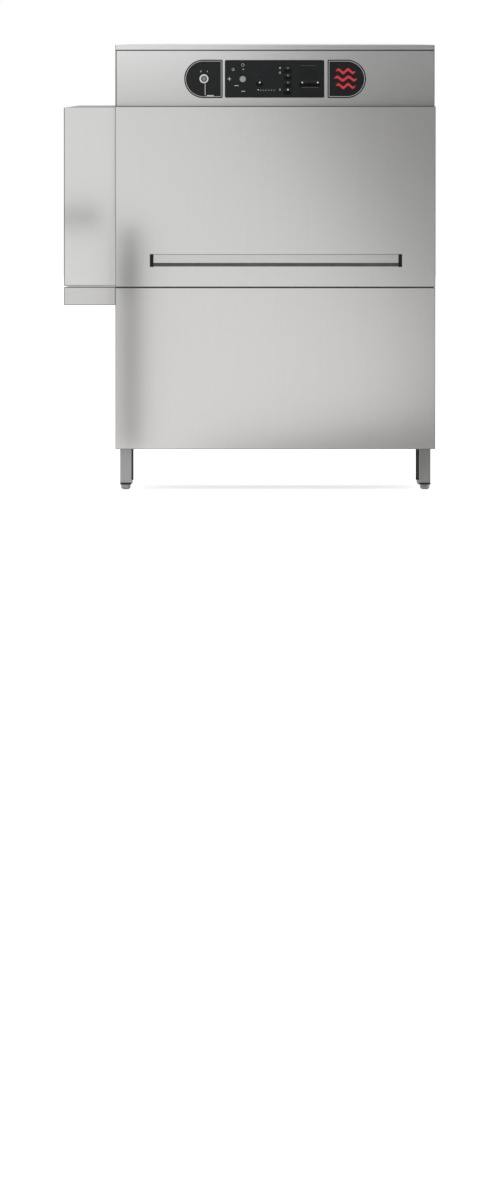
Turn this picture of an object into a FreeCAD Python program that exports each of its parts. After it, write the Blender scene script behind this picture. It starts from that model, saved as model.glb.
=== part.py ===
import FreeCAD, Part
import math
import os
import re

import Sketcher

# Conveyor dishwasher, in millimetres. X runs the way the racks travel, Y runs from the front to
# the back and Z points up. The origin is under the middle of the whole machine, on the floor.

doc = FreeCAD.newDocument("conveyor_dishwasher")
sheet = doc.addObject("Spreadsheet::Sheet", "sizes")

# Each driving size is written once here.
SIZES = {
    # overall
    "body_length": 1150,
    "hood_length": 185,
    "overall_depth": 770,
    "pipe_reach": 25,
    "metal": 1.5,
    "side_lap": 3,
    "running_gap": 0.3,
    # levels above the floor
    "leg_bottom": 25,
    "base_bottom": 146,
    "panel_top": 726,
    "door_bottom": 728,
    "door_top": 1376,
    "fascia_bottom": 1378,
    "fascia_top": 1577,
    "lid_bottom": 1579,
    "lid_rim_top": 1597,
    "tank_rim": 740,
    "tray_level": 700,
    "track_level": 870,
    # legs and feet
    "leg_inset": 16.5,
    "leg_front_set": 8,
    "leg_back_set": 20,
    "leg_side": 40,
    "tube_wall": 2,
    "rail_height": 40,
    "insert_flange": 7.4,
    "insert_plug": 28,
    "stem_radius": 6,
    "stem_length": 42,
    "foot_radius": 17,
    "foot_round": 6,
    # door and its guides
    "door_thick": 30,
    "door_gap": 3,
    "fold_radius": 2.5,
    "recess_left": 124,
    "recess_width": 906,
    "recess_bottom": 72,
    "recess_height": 46.5,
    "grip_gap": 15,
    "handle_wall": 2,
    "end_cap_width": 13.5,
    "rail_wide": 40,
    "rail_deep": 28,
    "rail_wall": 2,
    "rail_slot": 14,
    "rail_bottom": 735,
    "rail_top": 1374,
    "block_height": 40,
    "block_bottom": 745,
    "block_step": 85,
    "door_travel": 500,
    "strut_radius": 11,
    "strut_wall": 1.5,
    "strut_top": 708,
    "strut_cap": 4,
    "rod_radius": 4,
    "piston_height": 12,
    # fascia
    "fascia_set": 16,
    "fascia_return": 18,
    "lid_overhang": 4,
    "plate_thick": 1.5,
    "plate_centre": 1475.5,
    "switch_plate_left": 247.5,
    "end_plate_width": 138,
    "end_plate_height": 137.5,
    "control_plate_left": 393.5,
    "control_plate_width": 357,
    "control_plate_height": 135,
    "wave_plate_left": 762.5,
    "plate_corner": 5,
    "main_knob_radius": 16.5,
    "main_knob_height": 6,
    "main_knob_x": 318.5,
    "programme_knob_radius": 11.5,
    "programme_knob_x": 458,
    "knob_height": 14,
    "spindle_radius": 4,
    "spindle_length": 26,
    "button_proud": 2.5,
    "button_gap": 0.4,
    "button_travel": 1.5,
    "button_lip": 1.5,
    "button_corner": 1.5,
    # hood over the entry
    "hood_bottom": 732,
    "hood_top": 1372,
    "hood_rise": 9,
    "hood_hip": 55,
    "hood_half_depth": 340,
    "drip_bottom": 663,
    "drip_top": 728,
    "drip_slot_bottom": 668,
    "drip_slot_height": 20,
    "drip_slot_half": 230,
    # tunnels and chamber
    "tunnel_half": 265,
    "tunnel_bottom": 835,
    "tunnel_top": 1310,
    "hem": 12,
    "chamber_back": 285,
    "roof_level": 1375,
    "frame_border": 24,
    "opening_bottom": 764,
    "opening_top": 1352,
    # wash tank
    "tank_front": 300,
    "tank_side": 150,
    "sump_depth": 320,
    "sump_before_drain": 239,
    "sump_length": 300,
    "ledge": 14,
    "drain_x": 320,
    "drain_y": -150,
    "drain_radius": 25,
    "drain_level": 270,
    # rack transport
    "rail_half": 262,
    "guide_top": 890,
    "cross_bar_wide": 30,
    "cross_bar_height": 8.2,
    "cross_bar_reach": 560,
    "drag_half_length": 590,
    "drag_inside": 200,
    "drag_bar_wide": 12,
    "drag_bar_height": 15,
    "pawl_shaft_radius": 5,
    "pawl_thick": 8,
    "pawl_half_spread": 120,
    "entry_pawl_x": -375,
    "centre_pawl_x": 120,
    "exit_pawl_x": 400,
    "drive_x": 450,
    "drive_level": 340,
    "pin_level": 820,
    "pin_radius": 6,
    "pin_clearance": 1,
    "drag_stroke": 65,
    "drive_shaft_radius": 12.5,
    "switch_x": 600,
    # curtains
    "curtain_rod_radius": 4,
    "entry_rod_x": -650,
    "entry_rod_level": 1322,
    "exit_rod_x": 636,
    "exit_rod_level": 1298,
    "curtain_half": 258,
    "curtain_thick": 3,
    "curtain_bottom": 896,
    "curtain_slit": 2,
    # wash and rinse pipework
    "arm_first_x": -330,
    "arm_pitch": 160,
    "arm_radius": 15,
    "arm_reach": 240,
    "header_radius": 20,
    "header_y": 255,
    "lower_arm_level": 790,
    "upper_arm_level": 1330,
    "nozzle_first_y": -215,
    "nozzle_pitch": 86,
    "riser_x": 140,
    "riser_y": 322,
    "riser_radius": 20,
    "rinse_gap": 10,
    "rinse_radius": 12,
    "rinse_pipe_radius": 8,
    "pump_x": 200,
    "pump_level": 280,
    "suction_rise": 185,
    "heater_rise": 180,
    "booster_x": -250,
    "booster_y": -60,
    "booster_radius": 90,
    "booster_length": 420,
    "inlet_x": -250,
    "inlet_level": 300,
    "inlet_radius": 13.2,
    "gland_x": 560,
    "gland_level": 300,
    "gland_bore": 6.5,
}

ARM_COUNT = 4
NOZZLE_COUNT = 6
STRIP_COUNT = 6

for line, (alias, value) in enumerate(SIZES.items(), 1):
    sheet.set(f"A{line}", alias)
    sheet.set(f"B{line}", str(value))
    sheet.setAlias(f"B{line}", alias)
doc.recompute()

# Places that several pieces share, worked out from the sizes.
LEFT = "(hood_length - body_length) / 2"
RIGHT = "(hood_length + body_length) / 2"
HOOD_LEFT = "-(hood_length + body_length) / 2"
CASE_RIGHT = "((hood_length + body_length) / 2 - side_lap)"
CASE_LENGTH = "(body_length - side_lap)"
FRONT = "-overall_depth / 2"
CASE_FRONT = "(door_thick + door_gap - overall_depth / 2)"
CASE_BACK = "(overall_depth / 2 - pipe_reach)"
DOOR_BACK = "(door_thick - overall_depth / 2)"
FASCIA_FRONT = "(door_thick + door_gap + fascia_set - overall_depth / 2)"
PLATE_FRONT = "(door_thick + door_gap + fascia_set - plate_thick - overall_depth / 2)"
BASE_TOP = "(base_bottom + rail_height)"
FRAME_LENGTH = "(body_length - 2 * leg_inset)"
FRAME_FRONT = "(door_thick + door_gap + leg_front_set - overall_depth / 2)"
FRAME_DEPTH = "(overall_depth - pipe_reach - door_thick - door_gap - leg_front_set - leg_back_set)"
RAIL_MIDDLE_Y = "(door_thick + door_gap + rail_deep / 2 - overall_depth / 2)"
RAIL_STEP = "(body_length - side_lap - 2 * metal - rail_wide)"
DRAG_BOTTOM = "(tunnel_bottom + metal + cross_bar_height + running_gap)"
PAWL_LEVEL = "(tunnel_bottom + metal + cross_bar_height + running_gap + drag_bar_height / 2)"


def link(text):
    """The expression with each size's name pointed at the sheet."""
    def point(word):
        return "sizes." + word.group() if word.group() in SIZES else word.group()
    return re.sub(r"[a-z_]+", point, text)


def number(text):
    """The value of a size, for the shapes that are worked out here."""
    return float(sheet.get(text))


def bind(thing, path, text):
    thing.setExpression(path, link(text))


def place(thing, x="0", y="0", z="0"):
    bind(thing, ".Placement.Base.x", x)
    bind(thing, ".Placement.Base.y", y)
    bind(thing, ".Placement.Base.z", z)


def lies_on(item, shape, side):
    """True when a face or edge lies wholly on one side of a shape, such as -y."""
    box = item.BoundBox
    whole = shape.BoundBox
    slack = 0.01
    low = {"x": box.XMax - whole.XMin, "y": box.YMax - whole.YMin, "z": box.ZMax - whole.ZMin}
    high = {"x": whole.XMax - box.XMin, "y": whole.YMax - box.YMin, "z": whole.ZMax - box.ZMin}
    gap = low if side[0] == "-" else high
    return gap[side[1]] < slack


def runs_along(edge, axis):
    """True for a straight edge along x, y or z."""
    if len(edge.Vertexes) < 2 or edge.Curve.TypeId != "Part::GeomLine":
        return False
    way = edge.Vertexes[1].Point - edge.Vertexes[0].Point
    return abs(getattr(way, axis)) > 0.999 * way.Length


class Piece:
    """One sub-part, built in a frame of its own from sketches and features."""

    def __init__(self, label, x="0", y="0", z="0"):
        self.body = doc.addObject("PartDesign::Body", label)
        self.body.Label = label
        self.steps = 0
        place(self.body, x, y, z)

    def origin(self, role):
        return next(item for item in self.body.Origin.OriginFeatures if item.Role == role)

    def name(self, word):
        self.steps += 1
        return f"{self.body.Name}_{word}_{self.steps}"

    def sketch(self, plane, at="0"):
        """An empty sketch on a plane of the piece; `at` is its place along the third axis."""
        made = self.body.newObject("Sketcher::SketchObject", self.name("sketch"))
        made.AttachmentSupport = (self.origin(plane + "_Plane"), [""])
        made.MapMode = "FlatFace"
        side = "-1 * " if plane == "XZ" else ""
        bind(made, ".AttachmentOffset.Base.z", f"{side}({at})")
        return made

    def outline(self, drawing, points):
        """A closed outline through points given by two expressions each."""
        first = drawing.GeometryCount
        count = len(points)
        start = []
        for turn in range(count):
            angle = 2 * math.pi * turn / count
            start.append(FreeCAD.Vector(100 * math.cos(angle), 100 * math.sin(angle), 0))
        for turn in range(count):
            drawing.addGeometry(Part.LineSegment(start[turn], start[(turn + 1) % count]), False)
        for turn in range(count):
            drawing.addConstraint(Sketcher.Constraint(
                "Coincident", first + turn, 2, first + (turn + 1) % count, 1))
        for turn, (across, up) in enumerate(points):
            for kind, text, value in (("DistanceX", across, start[turn].x),
                                      ("DistanceY", up, start[turn].y)):
                row = drawing.addConstraint(Sketcher.Constraint(
                    kind, -1, 1, first + turn, 1, value))
                bind(drawing, f"Constraints[{row}]", text)
        return drawing

    def rectangle(self, drawing, left, bottom, right, top):
        return self.outline(drawing, [(left, bottom), (right, bottom), (right, top), (left, top)])

    def hexagon(self, drawing, radius):
        """A six-sided outline about the middle, with two corners on the first axis."""
        half = f"{radius} / 2"
        rise = f"{radius} * sqrt(3) / 2"
        return self.outline(drawing, [
            (radius, "0"), (half, rise), (f"-{half}", rise), (f"-{radius}", "0"),
            (f"-{half}", f"-{rise}"), (half, f"-{rise}")])

    def disc(self, drawing, across, up, radius):
        """A circle whose centre and radius are expressions."""
        first = drawing.GeometryCount
        drawing.addGeometry(
            Part.Circle(FreeCAD.Vector(10, 10, 0), FreeCAD.Vector(0, 0, 1), 5), False)
        for kind, text in (("DistanceX", across), ("DistanceY", up)):
            row = drawing.addConstraint(Sketcher.Constraint(kind, -1, 1, first, 3, 10))
            bind(drawing, f"Constraints[{row}]", text)
        row = drawing.addConstraint(Sketcher.Constraint("Radius", first, 5))
        bind(drawing, f"Constraints[{row}]", radius)
        return drawing

    def feature(self, kind, word):
        return self.body.newObject("PartDesign::" + kind, self.name(word))

    def pad(self, drawing, length, toward):
        """Adds the drawing's shape over a length, toward + or - along the third axis."""
        made = self.feature("Pad", "pad")
        made.Profile = drawing
        bind(made, "Length", length)
        flat_y = "XZ_Plane" in drawing.AttachmentSupport[0][0].Role
        made.Reversed = (toward == "+") if flat_y else (toward == "-")
        doc.recompute()
        return made

    def pocket(self, drawing, length, toward):
        """Cuts the drawing's shape away over a length, and makes sure that it cut."""
        before = self.body.Shape.Volume
        made = self.feature("Pocket", "pocket")
        made.Profile = drawing
        bind(made, "Length", length)
        flat_y = "XZ_Plane" in drawing.AttachmentSupport[0][0].Role
        made.Reversed = (toward == "-") if flat_y else (toward == "+")
        doc.recompute()
        if not made.Shape.Volume < before:
            raise ValueError(f"{made.Name} cuts nothing")
        return made

    def spin(self, drawing, axis):
        """Turns the drawing's shape right round its own upright or level axis."""
        made = self.feature("Revolution", "spin")
        made.Profile = drawing
        made.ReferenceAxis = (drawing, [axis])
        made.Angle = 360
        doc.recompute()
        return made

    def hip(self, cut, level, left, right, front, back, insets, rise):
        """A hipped block, added or cut: a base rectangle and a smaller one above it."""
        made = self.feature("SubtractiveWedge" if cut else "AdditiveWedge", "hip")
        upright = FreeCAD.Rotation(FreeCAD.Vector(1, 0, 0), 90)
        made.Placement = FreeCAD.Placement(FreeCAD.Vector(0, 0, 0), upright)
        bind(made, ".Placement.Base.z", level)
        inset_left, inset_right, inset_front, inset_back = insets
        for path, text in (("Xmin", left), ("Xmax", right), ("Zmin", f"-({back})"),
                           ("Zmax", f"-({front})"), ("Ymin", "0"), ("Ymax", rise),
                           ("X2min", f"{left} + {inset_left}"),
                           ("X2max", f"{right} - {inset_right}"),
                           ("Z2min", f"-({back}) + {inset_back}"),
                           ("Z2max", f"-({front}) - {inset_front}")):
            bind(made, path, text)
        self.body.Tip = made
        doc.recompute()
        return made

    def hollow(self, open_sides, wall="metal"):
        """Leaves a wall of sheet metal, open on the named sides."""
        base = self.body.Tip
        faces = []
        for row, face in enumerate(base.Shape.Faces, 1):
            if any(lies_on(face, base.Shape, side) for side in open_sides):
                faces.append(f"Face{row}")
        made = self.feature("Thickness", "wall")
        made.Base = (base, faces)
        bind(made, "Value", wall)
        made.Reversed = True
        doc.recompute()
        return made

    def soften(self, radius, wanted, kind="Fillet"):
        """Rounds, or chamfers, the edges for which `wanted` is true."""
        base = self.body.Tip
        rows = [f"Edge{row}" for row, edge in enumerate(base.Shape.Edges, 1)
                if wanted(edge, base.Shape)]
        if not rows:
            raise ValueError(f"{self.body.Label}: no edge to soften")
        made = self.feature(kind, "edge")
        made.Base = (base, rows)
        bind(made, "Radius" if kind == "Fillet" else "Size", radius)
        doc.recompute()
        return made

    def repeat(self, features, ways):
        """Repeats features along one or two axes: (axis, whole length, count) each."""
        made = []
        grid = self.feature("MultiTransform", "grid") if len(ways) > 1 else None
        if grid:
            grid.Originals = features
        for axis, length, count in ways:
            row = self.feature("LinearPattern", "row")
            row.Direction = (self.origin(axis + "_Axis"), [""])
            bind(row, "Length", length)
            row.Occurrences = count
            if not grid:
                row.Originals = features
            made.append(row)
        if grid:
            grid.Transformations = made
        self.body.Tip = grid or made[0]
        doc.recompute()
        return self.body.Tip


def bent_pipe(points, radius, bend):
    """A round bar through points, each corner turned in two mitred steps as welded pipe is."""
    spots = [FreeCAD.Vector(*point) for point in points]
    path = [spots[0]]
    for before, corner, after in zip(spots, spots[1:], spots[2:]):
        path.append(corner + (before - corner).normalize() * bend)
        path.append(corner + (after - corner).normalize() * bend)
    path.append(spots[-1])
    circle = Part.makeCircle(radius, path[0], path[1] - path[0])
    shell = Part.BRepOffsetAPI.MakePipeShell(Part.makePolygon(path))
    shell.setTransitionMode(1)
    shell.add(Part.Wire(circle))
    shell.build()
    shell.makeSolid()
    return shell.shape()


def fixed_shape(label, shape):
    """A sub-part whose shape is worked out here, from sizes read from the sheet."""
    made = doc.addObject("Part::Feature", label)
    made.Label = label
    made.Shape = shape.removeSplitter()
    made.Placement = FreeCAD.Placement()
    return made


def front_edges(edge, shape):
    return lies_on(edge, shape, "-y")


# Welded base frame: a ring of rails with four legs and four cross members, all hollow.
def base_frame():
    piece = Piece("base_frame", f"{LEFT} + leg_inset", FRAME_FRONT)
    ring = piece.sketch("XY", "base_bottom")
    piece.rectangle(ring, "0", "0", FRAME_LENGTH, FRAME_DEPTH)
    piece.rectangle(ring, "leg_side", "leg_side",
                    f"{FRAME_LENGTH} - leg_side", f"{FRAME_DEPTH} - leg_side")
    piece.pad(ring, "rail_height", "+")
    members = piece.sketch("XY", "base_bottom")
    for centre in ("booster_x - booster_length / 4", "booster_x + booster_length / 4",
                   "pump_x", "drive_x"):
        middle = f"{centre} - {LEFT} - leg_inset"
        piece.rectangle(members, f"{middle} - leg_side / 2", "leg_side / 2",
                        f"{middle} + leg_side / 2", f"{FRAME_DEPTH} - leg_side / 2")
    piece.pad(members, "rail_height", "+")
    legs = piece.sketch("XY", "leg_bottom")
    for left in ("0", f"{FRAME_LENGTH} - leg_side"):
        for front in ("0", f"{FRAME_DEPTH} - leg_side"):
            piece.rectangle(legs, left, front, f"{left} + leg_side", f"{front} + leg_side")
    piece.pad(legs, "base_bottom + rail_height - leg_bottom", "+")
    bores = piece.sketch("XY", "leg_bottom")
    for left in ("tube_wall", f"{FRAME_LENGTH} - leg_side + tube_wall"):
        for front in ("tube_wall", f"{FRAME_DEPTH} - leg_side + tube_wall"):
            piece.rectangle(bores, left, front, f"{left} + leg_side - 2 * tube_wall",
                            f"{front} + leg_side - 2 * tube_wall")
    piece.pocket(bores, "base_bottom + rail_height - leg_bottom - tube_wall", "+")
    channel = piece.sketch("XY", "base_bottom")
    piece.rectangle(channel, "tube_wall", "tube_wall",
                    f"{FRAME_LENGTH} - tube_wall", f"{FRAME_DEPTH} - tube_wall")
    piece.rectangle(channel, "leg_side - tube_wall", "leg_side - tube_wall",
                    f"{FRAME_LENGTH} - leg_side + tube_wall",
                    f"{FRAME_DEPTH} - leg_side + tube_wall")
    piece.pocket(channel, "rail_height - tube_wall", "+")
    return piece.body


# Plastic end plugs in the leg tubes, each bored for the stem of its foot.
def leg_inserts():
    piece = Piece("leg_inserts", f"{LEFT} + leg_inset", FRAME_FRONT, "leg_bottom")
    plug = piece.sketch("XY")
    side = "leg_side - tube_wall - running_gap"
    piece.rectangle(plug, "tube_wall + running_gap", "tube_wall + running_gap", side, side)
    inside = piece.pad(plug, "insert_plug", "+")
    flange = piece.sketch("XY")
    piece.rectangle(flange, "0", "0", "leg_side", "leg_side")
    plate = piece.pad(flange, "insert_flange", "-")
    bore = piece.sketch("XY", "-insert_flange")
    piece.disc(bore, "leg_side / 2", "leg_side / 2", "stem_radius + 0.1")
    hole = piece.pocket(bore, "insert_flange + insert_plug", "+")
    piece.repeat([inside, plate, hole], [("X", f"{FRAME_LENGTH} - leg_side", 2),
                                         ("Y", f"{FRAME_DEPTH} - leg_side", 2)])
    return piece.body


# A levelling foot: a hexagon for a spanner, tapered to its sole, on a threaded stem.
def foot(label, right, rear):
    x = f"{LEFT} + leg_inset + leg_side / 2"
    y = f"{FRAME_FRONT} + leg_side / 2"
    if right:
        x += f" + {FRAME_LENGTH} - leg_side"
    if rear:
        y += f" + {FRAME_DEPTH} - leg_side"
    piece = Piece(label, x, y)
    shoulder = "(leg_bottom - insert_flange - running_gap)"
    grip = piece.hexagon(piece.sketch("XY"), "foot_radius")
    piece.pad(grip, shoulder, "+")
    piece.soften("foot_round", lambda edge, shape: lies_on(edge, shape, "-z"), "Chamfer")
    stem = piece.disc(piece.sketch("XY", shoulder), "0", "0", "stem_radius")
    piece.pad(stem, "stem_length", "+")
    return piece.body


# A side wall of the casing, with a tunnel for the racks and a fold to stand on.
def end_wall(label, x, inward):
    outward = "-" if inward == "+" else "+"
    piece = Piece(label, x)
    blank = piece.sketch("YZ")
    back = f"{CASE_BACK} - metal"
    step = f"{FASCIA_FRONT} + metal"
    under = "fascia_bottom - metal / 2"
    piece.outline(blank, [
        (CASE_FRONT, BASE_TOP), (back, BASE_TOP), (back, "lid_bottom"), (step, "lid_bottom"),
        (step, under), (CASE_FRONT, under)])
    piece.pad(blank, "metal", inward)
    sign = "" if inward == "+" else "-"
    fold = piece.sketch("XY", BASE_TOP)
    piece.rectangle(fold, "0", FRAME_FRONT, f"{sign}(leg_side - 4)",
                    f"{FRAME_FRONT} + {FRAME_DEPTH}")
    piece.pad(fold, "metal", "+")
    rim = piece.sketch("YZ")
    piece.rectangle(rim, "-tunnel_half - metal", "tunnel_bottom - metal",
                    "tunnel_half + metal", "tunnel_top + metal")
    piece.pad(rim, "hem", inward)
    tunnel = piece.sketch("YZ")
    piece.rectangle(tunnel, "-tunnel_half", "tunnel_bottom", "tunnel_half", "tunnel_top")
    piece.pocket(tunnel, "hem", inward)
    if outward == "-":
        slot = piece.sketch("YZ")
        piece.rectangle(slot, "-drip_slot_half", "drip_slot_bottom", "drip_slot_half",
                        "drip_slot_bottom + drip_slot_height")
        piece.pocket(slot, "metal", inward)
    return piece.body


# The back of the casing, with vents beside the motors and holes for the pipes.
def rear_panel():
    piece = Piece("rear_panel", LEFT, CASE_BACK)
    blank = piece.sketch("XZ")
    piece.rectangle(blank, "0", BASE_TOP, CASE_LENGTH, "lid_bottom")
    piece.pad(blank, "metal", "-")
    holes = piece.sketch("XZ")
    piece.disc(holes, f"drain_x - {LEFT}", "drain_level", "drain_radius + 2")
    piece.disc(holes, f"inlet_x - {LEFT}", "inlet_level", "inlet_radius + 3.3")
    piece.disc(holes, f"gland_x - {LEFT}", "gland_level", "gland_bore + 3.5")
    piece.pocket(holes, "metal", "-")
    for first in ("120", "840"):
        vent = piece.sketch("XZ")
        piece.rectangle(vent, first, "430", f"{first} + 6", "530")
        cut = piece.pocket(vent, "metal", "-")
        piece.repeat([cut], [("X", "140", 6)])
    return piece.body


# Back and roof of the wash chamber, folded from one sheet.
def chamber_liner():
    piece = Piece("chamber_liner", f"{LEFT} + metal")
    profile = piece.sketch("YZ")
    outer = "chamber_back + metal"
    front = f"{CASE_FRONT} + rail_deep"
    top = "roof_level + metal"
    piece.outline(profile, [
        ("chamber_back", "tank_rim"), (outer, "tank_rim"), (outer, top), (front, top),
        (front, "roof_level"), ("chamber_back", "roof_level")])
    piece.pad(profile, f"{CASE_LENGTH} - 2 * metal", "+")
    holes = piece.sketch("XZ", "chamber_back")
    zero = f"({LEFT} + metal)"
    for level in ("lower_arm_level", "upper_arm_level"):
        piece.disc(holes, f"drain_x + drain_radius + rinse_gap - {zero}", level,
                   "rinse_pipe_radius + 1")
    piece.disc(holes, f"riser_x - {zero}", "lower_arm_level", "header_radius + 1")
    piece.disc(holes, f"riser_x - {zero}", "upper_arm_level", "riser_radius + 1")
    reach = "(drag_stroke + pin_radius + 5)"
    piece.rectangle(holes, f"drive_x - {reach} - {zero}", "pin_level - pin_radius - 9",
                    f"drive_x + {reach} - {zero}", "pin_level + pin_radius + 4")
    piece.pocket(holes, "metal", "+")
    return piece.body


# The frame around the door opening, with a sill that drains into the tank.
def front_frame():
    piece = Piece("front_frame", f"{LEFT} + metal + rail_wide", CASE_FRONT)
    width = f"({CASE_LENGTH} - 2 * metal - 2 * rail_wide)"
    ring = piece.sketch("XZ")
    piece.rectangle(ring, "0", "tank_rim + 4", width, "roof_level + metal")
    piece.rectangle(ring, "frame_border", "opening_bottom",
                    f"{width} - frame_border", "opening_top")
    piece.pad(ring, "metal", "+")
    hem = piece.sketch("XZ")
    piece.rectangle(hem, "frame_border - metal", "opening_bottom - metal",
                    f"{width} - frame_border + metal", "opening_top + metal")
    piece.rectangle(hem, "frame_border", "opening_bottom",
                    f"{width} - frame_border", "opening_top")
    piece.pad(hem, "hem", "+")
    returns = piece.sketch("XZ")
    piece.rectangle(returns, "0", "tank_rim + 4", "metal", "roof_level + metal")
    piece.rectangle(returns, f"{width} - metal", "tank_rim + 4", width, "roof_level + metal")
    piece.rectangle(returns, "metal", "roof_level", f"{width} - metal", "roof_level + metal")
    piece.pad(returns, "rail_deep", "+")
    sill = piece.sketch("YZ", "metal")
    reach = f"(-tank_front - {CASE_FRONT} + metal)"
    piece.outline(sill, [
        ("metal", "tank_rim + 18"), (reach, "tank_rim"), (reach, "tank_rim + 1.6"),
        ("metal", "tank_rim + 19.6")])
    piece.pad(sill, f"{width} - 2 * metal", "+")
    return piece.body


# The control fascia: a plate with folded top and bottom edges and cut-outs for the switches.
def fascia_panel():
    piece = Piece("fascia_panel", LEFT, FASCIA_FRONT)
    blank = piece.sketch("XZ")
    piece.rectangle(blank, "0", "fascia_bottom", CASE_LENGTH, "fascia_top")
    piece.pad(blank, "metal", "+")
    folds = piece.sketch("XZ", "metal")
    inner = f"{CASE_LENGTH} - 2 * metal"
    for low in ("fascia_bottom", "fascia_top - metal"):
        piece.rectangle(folds, "2 * metal", low, inner, f"{low} + metal")
    piece.pad(folds, "fascia_return", "+")
    holes = piece.sketch("XZ")
    piece.disc(holes, "main_knob_x", "plate_centre", "spindle_radius + 4")
    piece.rectangle(holes, "control_plate_left + 12", "plate_centre - 58",
                    "control_plate_left + control_plate_width - 12", "plate_centre + 58")
    piece.pocket(holes, "metal", "+")
    return piece.body


# The lid: a folded rim under a very low hipped crown.
def top_lid():
    piece = Piece("top_lid", LEFT, f"{FASCIA_FRONT} - lid_overhang", "lid_bottom")
    length = CASE_LENGTH
    depth = f"({CASE_BACK} - {FASCIA_FRONT} + lid_overhang)"
    rim_height = "(lid_rim_top - lid_bottom)"

    rim = piece.rectangle(piece.sketch("XY"), "0", "0", length, depth)
    piece.pad(rim, rim_height, "+")
    edge = "0"
    level = rim_height
    for inset, rise in (("50", "4"), ("100", "3.5"), ("140", "1.5")):
        piece.hip(False, level, edge, f"{length} - ({edge})", edge, f"{depth} - ({edge})",
                  [inset] * 4, rise)
        edge += f" + {inset}"
        level += f" + {rise}"
    piece.hollow(["-z"])
    return piece.body


# The splash hood over the rack entry, open to the body and below, with a low hipped top.
def entry_hood():
    piece = Piece("entry_hood", HOOD_LEFT, "-hood_half_depth", "hood_bottom")
    height = "(hood_top - hood_bottom)"
    depth = "(2 * hood_half_depth)"
    hips = ["hood_hip", "0", "hood_hip", "hood_hip"]
    block = piece.rectangle(piece.sketch("XY"), "0", "0", "hood_length", depth)
    piece.pad(block, height, "+")
    piece.hip(False, height, "0", "hood_length", "0", depth, hips, "hood_rise")
    inside = piece.rectangle(piece.sketch("XY"), "metal", "metal", "hood_length",
                             f"{depth} - metal")
    piece.pocket(inside, f"{height} - metal", "+")
    piece.hip(True, f"{height} - metal", "metal", "hood_length", "metal", f"{depth} - metal",
              hips, "hood_rise")
    tunnel = piece.sketch("YZ")
    middle = "hood_half_depth"
    piece.rectangle(tunnel, f"{middle} - tunnel_half", "tunnel_bottom - hood_bottom",
                    f"{middle} + tunnel_half", "tunnel_top - hood_bottom")
    piece.pocket(tunnel, "metal", "+")
    return piece.body


# The tray under the hood, which drains through a slot into the tank.
def hood_drip_tray():
    piece = Piece("hood_drip_tray", HOOD_LEFT, "-hood_half_depth", "drip_bottom")
    block = piece.rectangle(piece.sketch("XY"), "0", "0", "hood_length", "2 * hood_half_depth")
    piece.pad(block, "drip_top - drip_bottom", "+")
    piece.hollow(["+z"])
    slot = piece.sketch("YZ", "hood_length - metal")
    low = "drip_slot_bottom - drip_bottom"
    piece.rectangle(slot, "hood_half_depth - drip_slot_half", low,
                    "hood_half_depth + drip_slot_half", f"{low} + drip_slot_height")
    piece.pocket(slot, "metal", "+")
    return piece.body


# The wash tank: an open trough whose floor falls to a sump, with ledges for the filter tray.
def wash_tank():
    piece = Piece("wash_tank", f"{LEFT} + metal", "-tank_front", "tank_rim")
    length = f"({CASE_LENGTH} - 2 * metal)"
    width = "(tank_front + chamber_back + metal)"
    zero = f"({LEFT} + metal)"
    start = f"(drain_x - {zero} - sump_before_drain)"
    side = piece.sketch("XZ")
    piece.outline(side, [
        ("0", "0"), ("0", "-tank_side"), (start, "-sump_depth"),
        (f"{start} + sump_length", "-sump_depth"), (length, "-tank_side"), (length, "0")])
    piece.pad(side, width, "+")
    piece.hollow(["+z"])
    ledges = piece.sketch("YZ", "metal")
    level = "tray_level - tank_rim"
    piece.rectangle(ledges, "metal", f"{level} - metal", "metal + ledge", level)
    piece.rectangle(ledges, f"{width} - metal - ledge", f"{level} - metal",
                    f"{width} - metal", level)
    piece.pad(ledges, f"{length} - 2 * metal", "+")
    slot = piece.sketch("YZ")
    piece.rectangle(slot, "tank_front - drip_slot_half", "drip_slot_bottom - tank_rim",
                    "tank_front + drip_slot_half",
                    "drip_slot_bottom + drip_slot_height - tank_rim")
    piece.pocket(slot, "metal", "+")
    drain = piece.sketch("XY", "-sump_depth")
    piece.disc(drain, f"drain_x - {zero}", "drain_y + tank_front", "drain_radius - 4")
    piece.pocket(drain, "metal", "+")
    suction = piece.sketch("XZ", f"{width} - metal")
    piece.disc(suction, f"pump_x - {zero}", "pump_level + suction_rise - tank_rim", "riser_radius + 3")
    piece.pocket(suction, "metal", "+")
    heater = piece.sketch("XZ")
    piece.disc(heater, f"pump_x - 40 - {zero}", "pump_level + heater_rise - tank_rim", "28")
    piece.pocket(heater, "metal", "+")
    return piece.body


# A folded front panel with rounded edges, as on the door and the service panel.
def folded_panel(label, height, depth, z, back):
    piece = Piece(label, LEFT, back, z)
    face = piece.rectangle(piece.sketch("XZ"), "0", "0", "body_length", height)
    piece.pad(face, depth, "-")
    piece.soften("fold_radius", front_edges)
    piece.hollow(["+y"])
    return piece


def lower_front_panel():
    return folded_panel("lower_front_panel", "panel_top - base_bottom",
                        "door_thick + door_gap", "base_bottom", CASE_FRONT).body


def door_outer_panel():
    piece = folded_panel("door_outer_panel", "door_top - door_bottom", "door_thick - metal",
                         "door_bottom", f"{DOOR_BACK} - metal")
    recess = piece.sketch("XZ", "metal - door_thick")
    piece.rectangle(recess, "recess_left", "recess_bottom", "recess_left + recess_width",
                    "recess_bottom + recess_height")
    piece.pocket(recess, "2 * metal", "+")
    return piece.body


# The flat inner skin that closes the back of the door.
def door_inner_panel():
    piece = Piece("door_inner_panel", LEFT, DOOR_BACK, "door_bottom")
    face = piece.rectangle(piece.sketch("XZ"), "0", "0", "body_length", "door_top - door_bottom")
    piece.pad(face, "metal", "-")
    return piece.body


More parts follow.
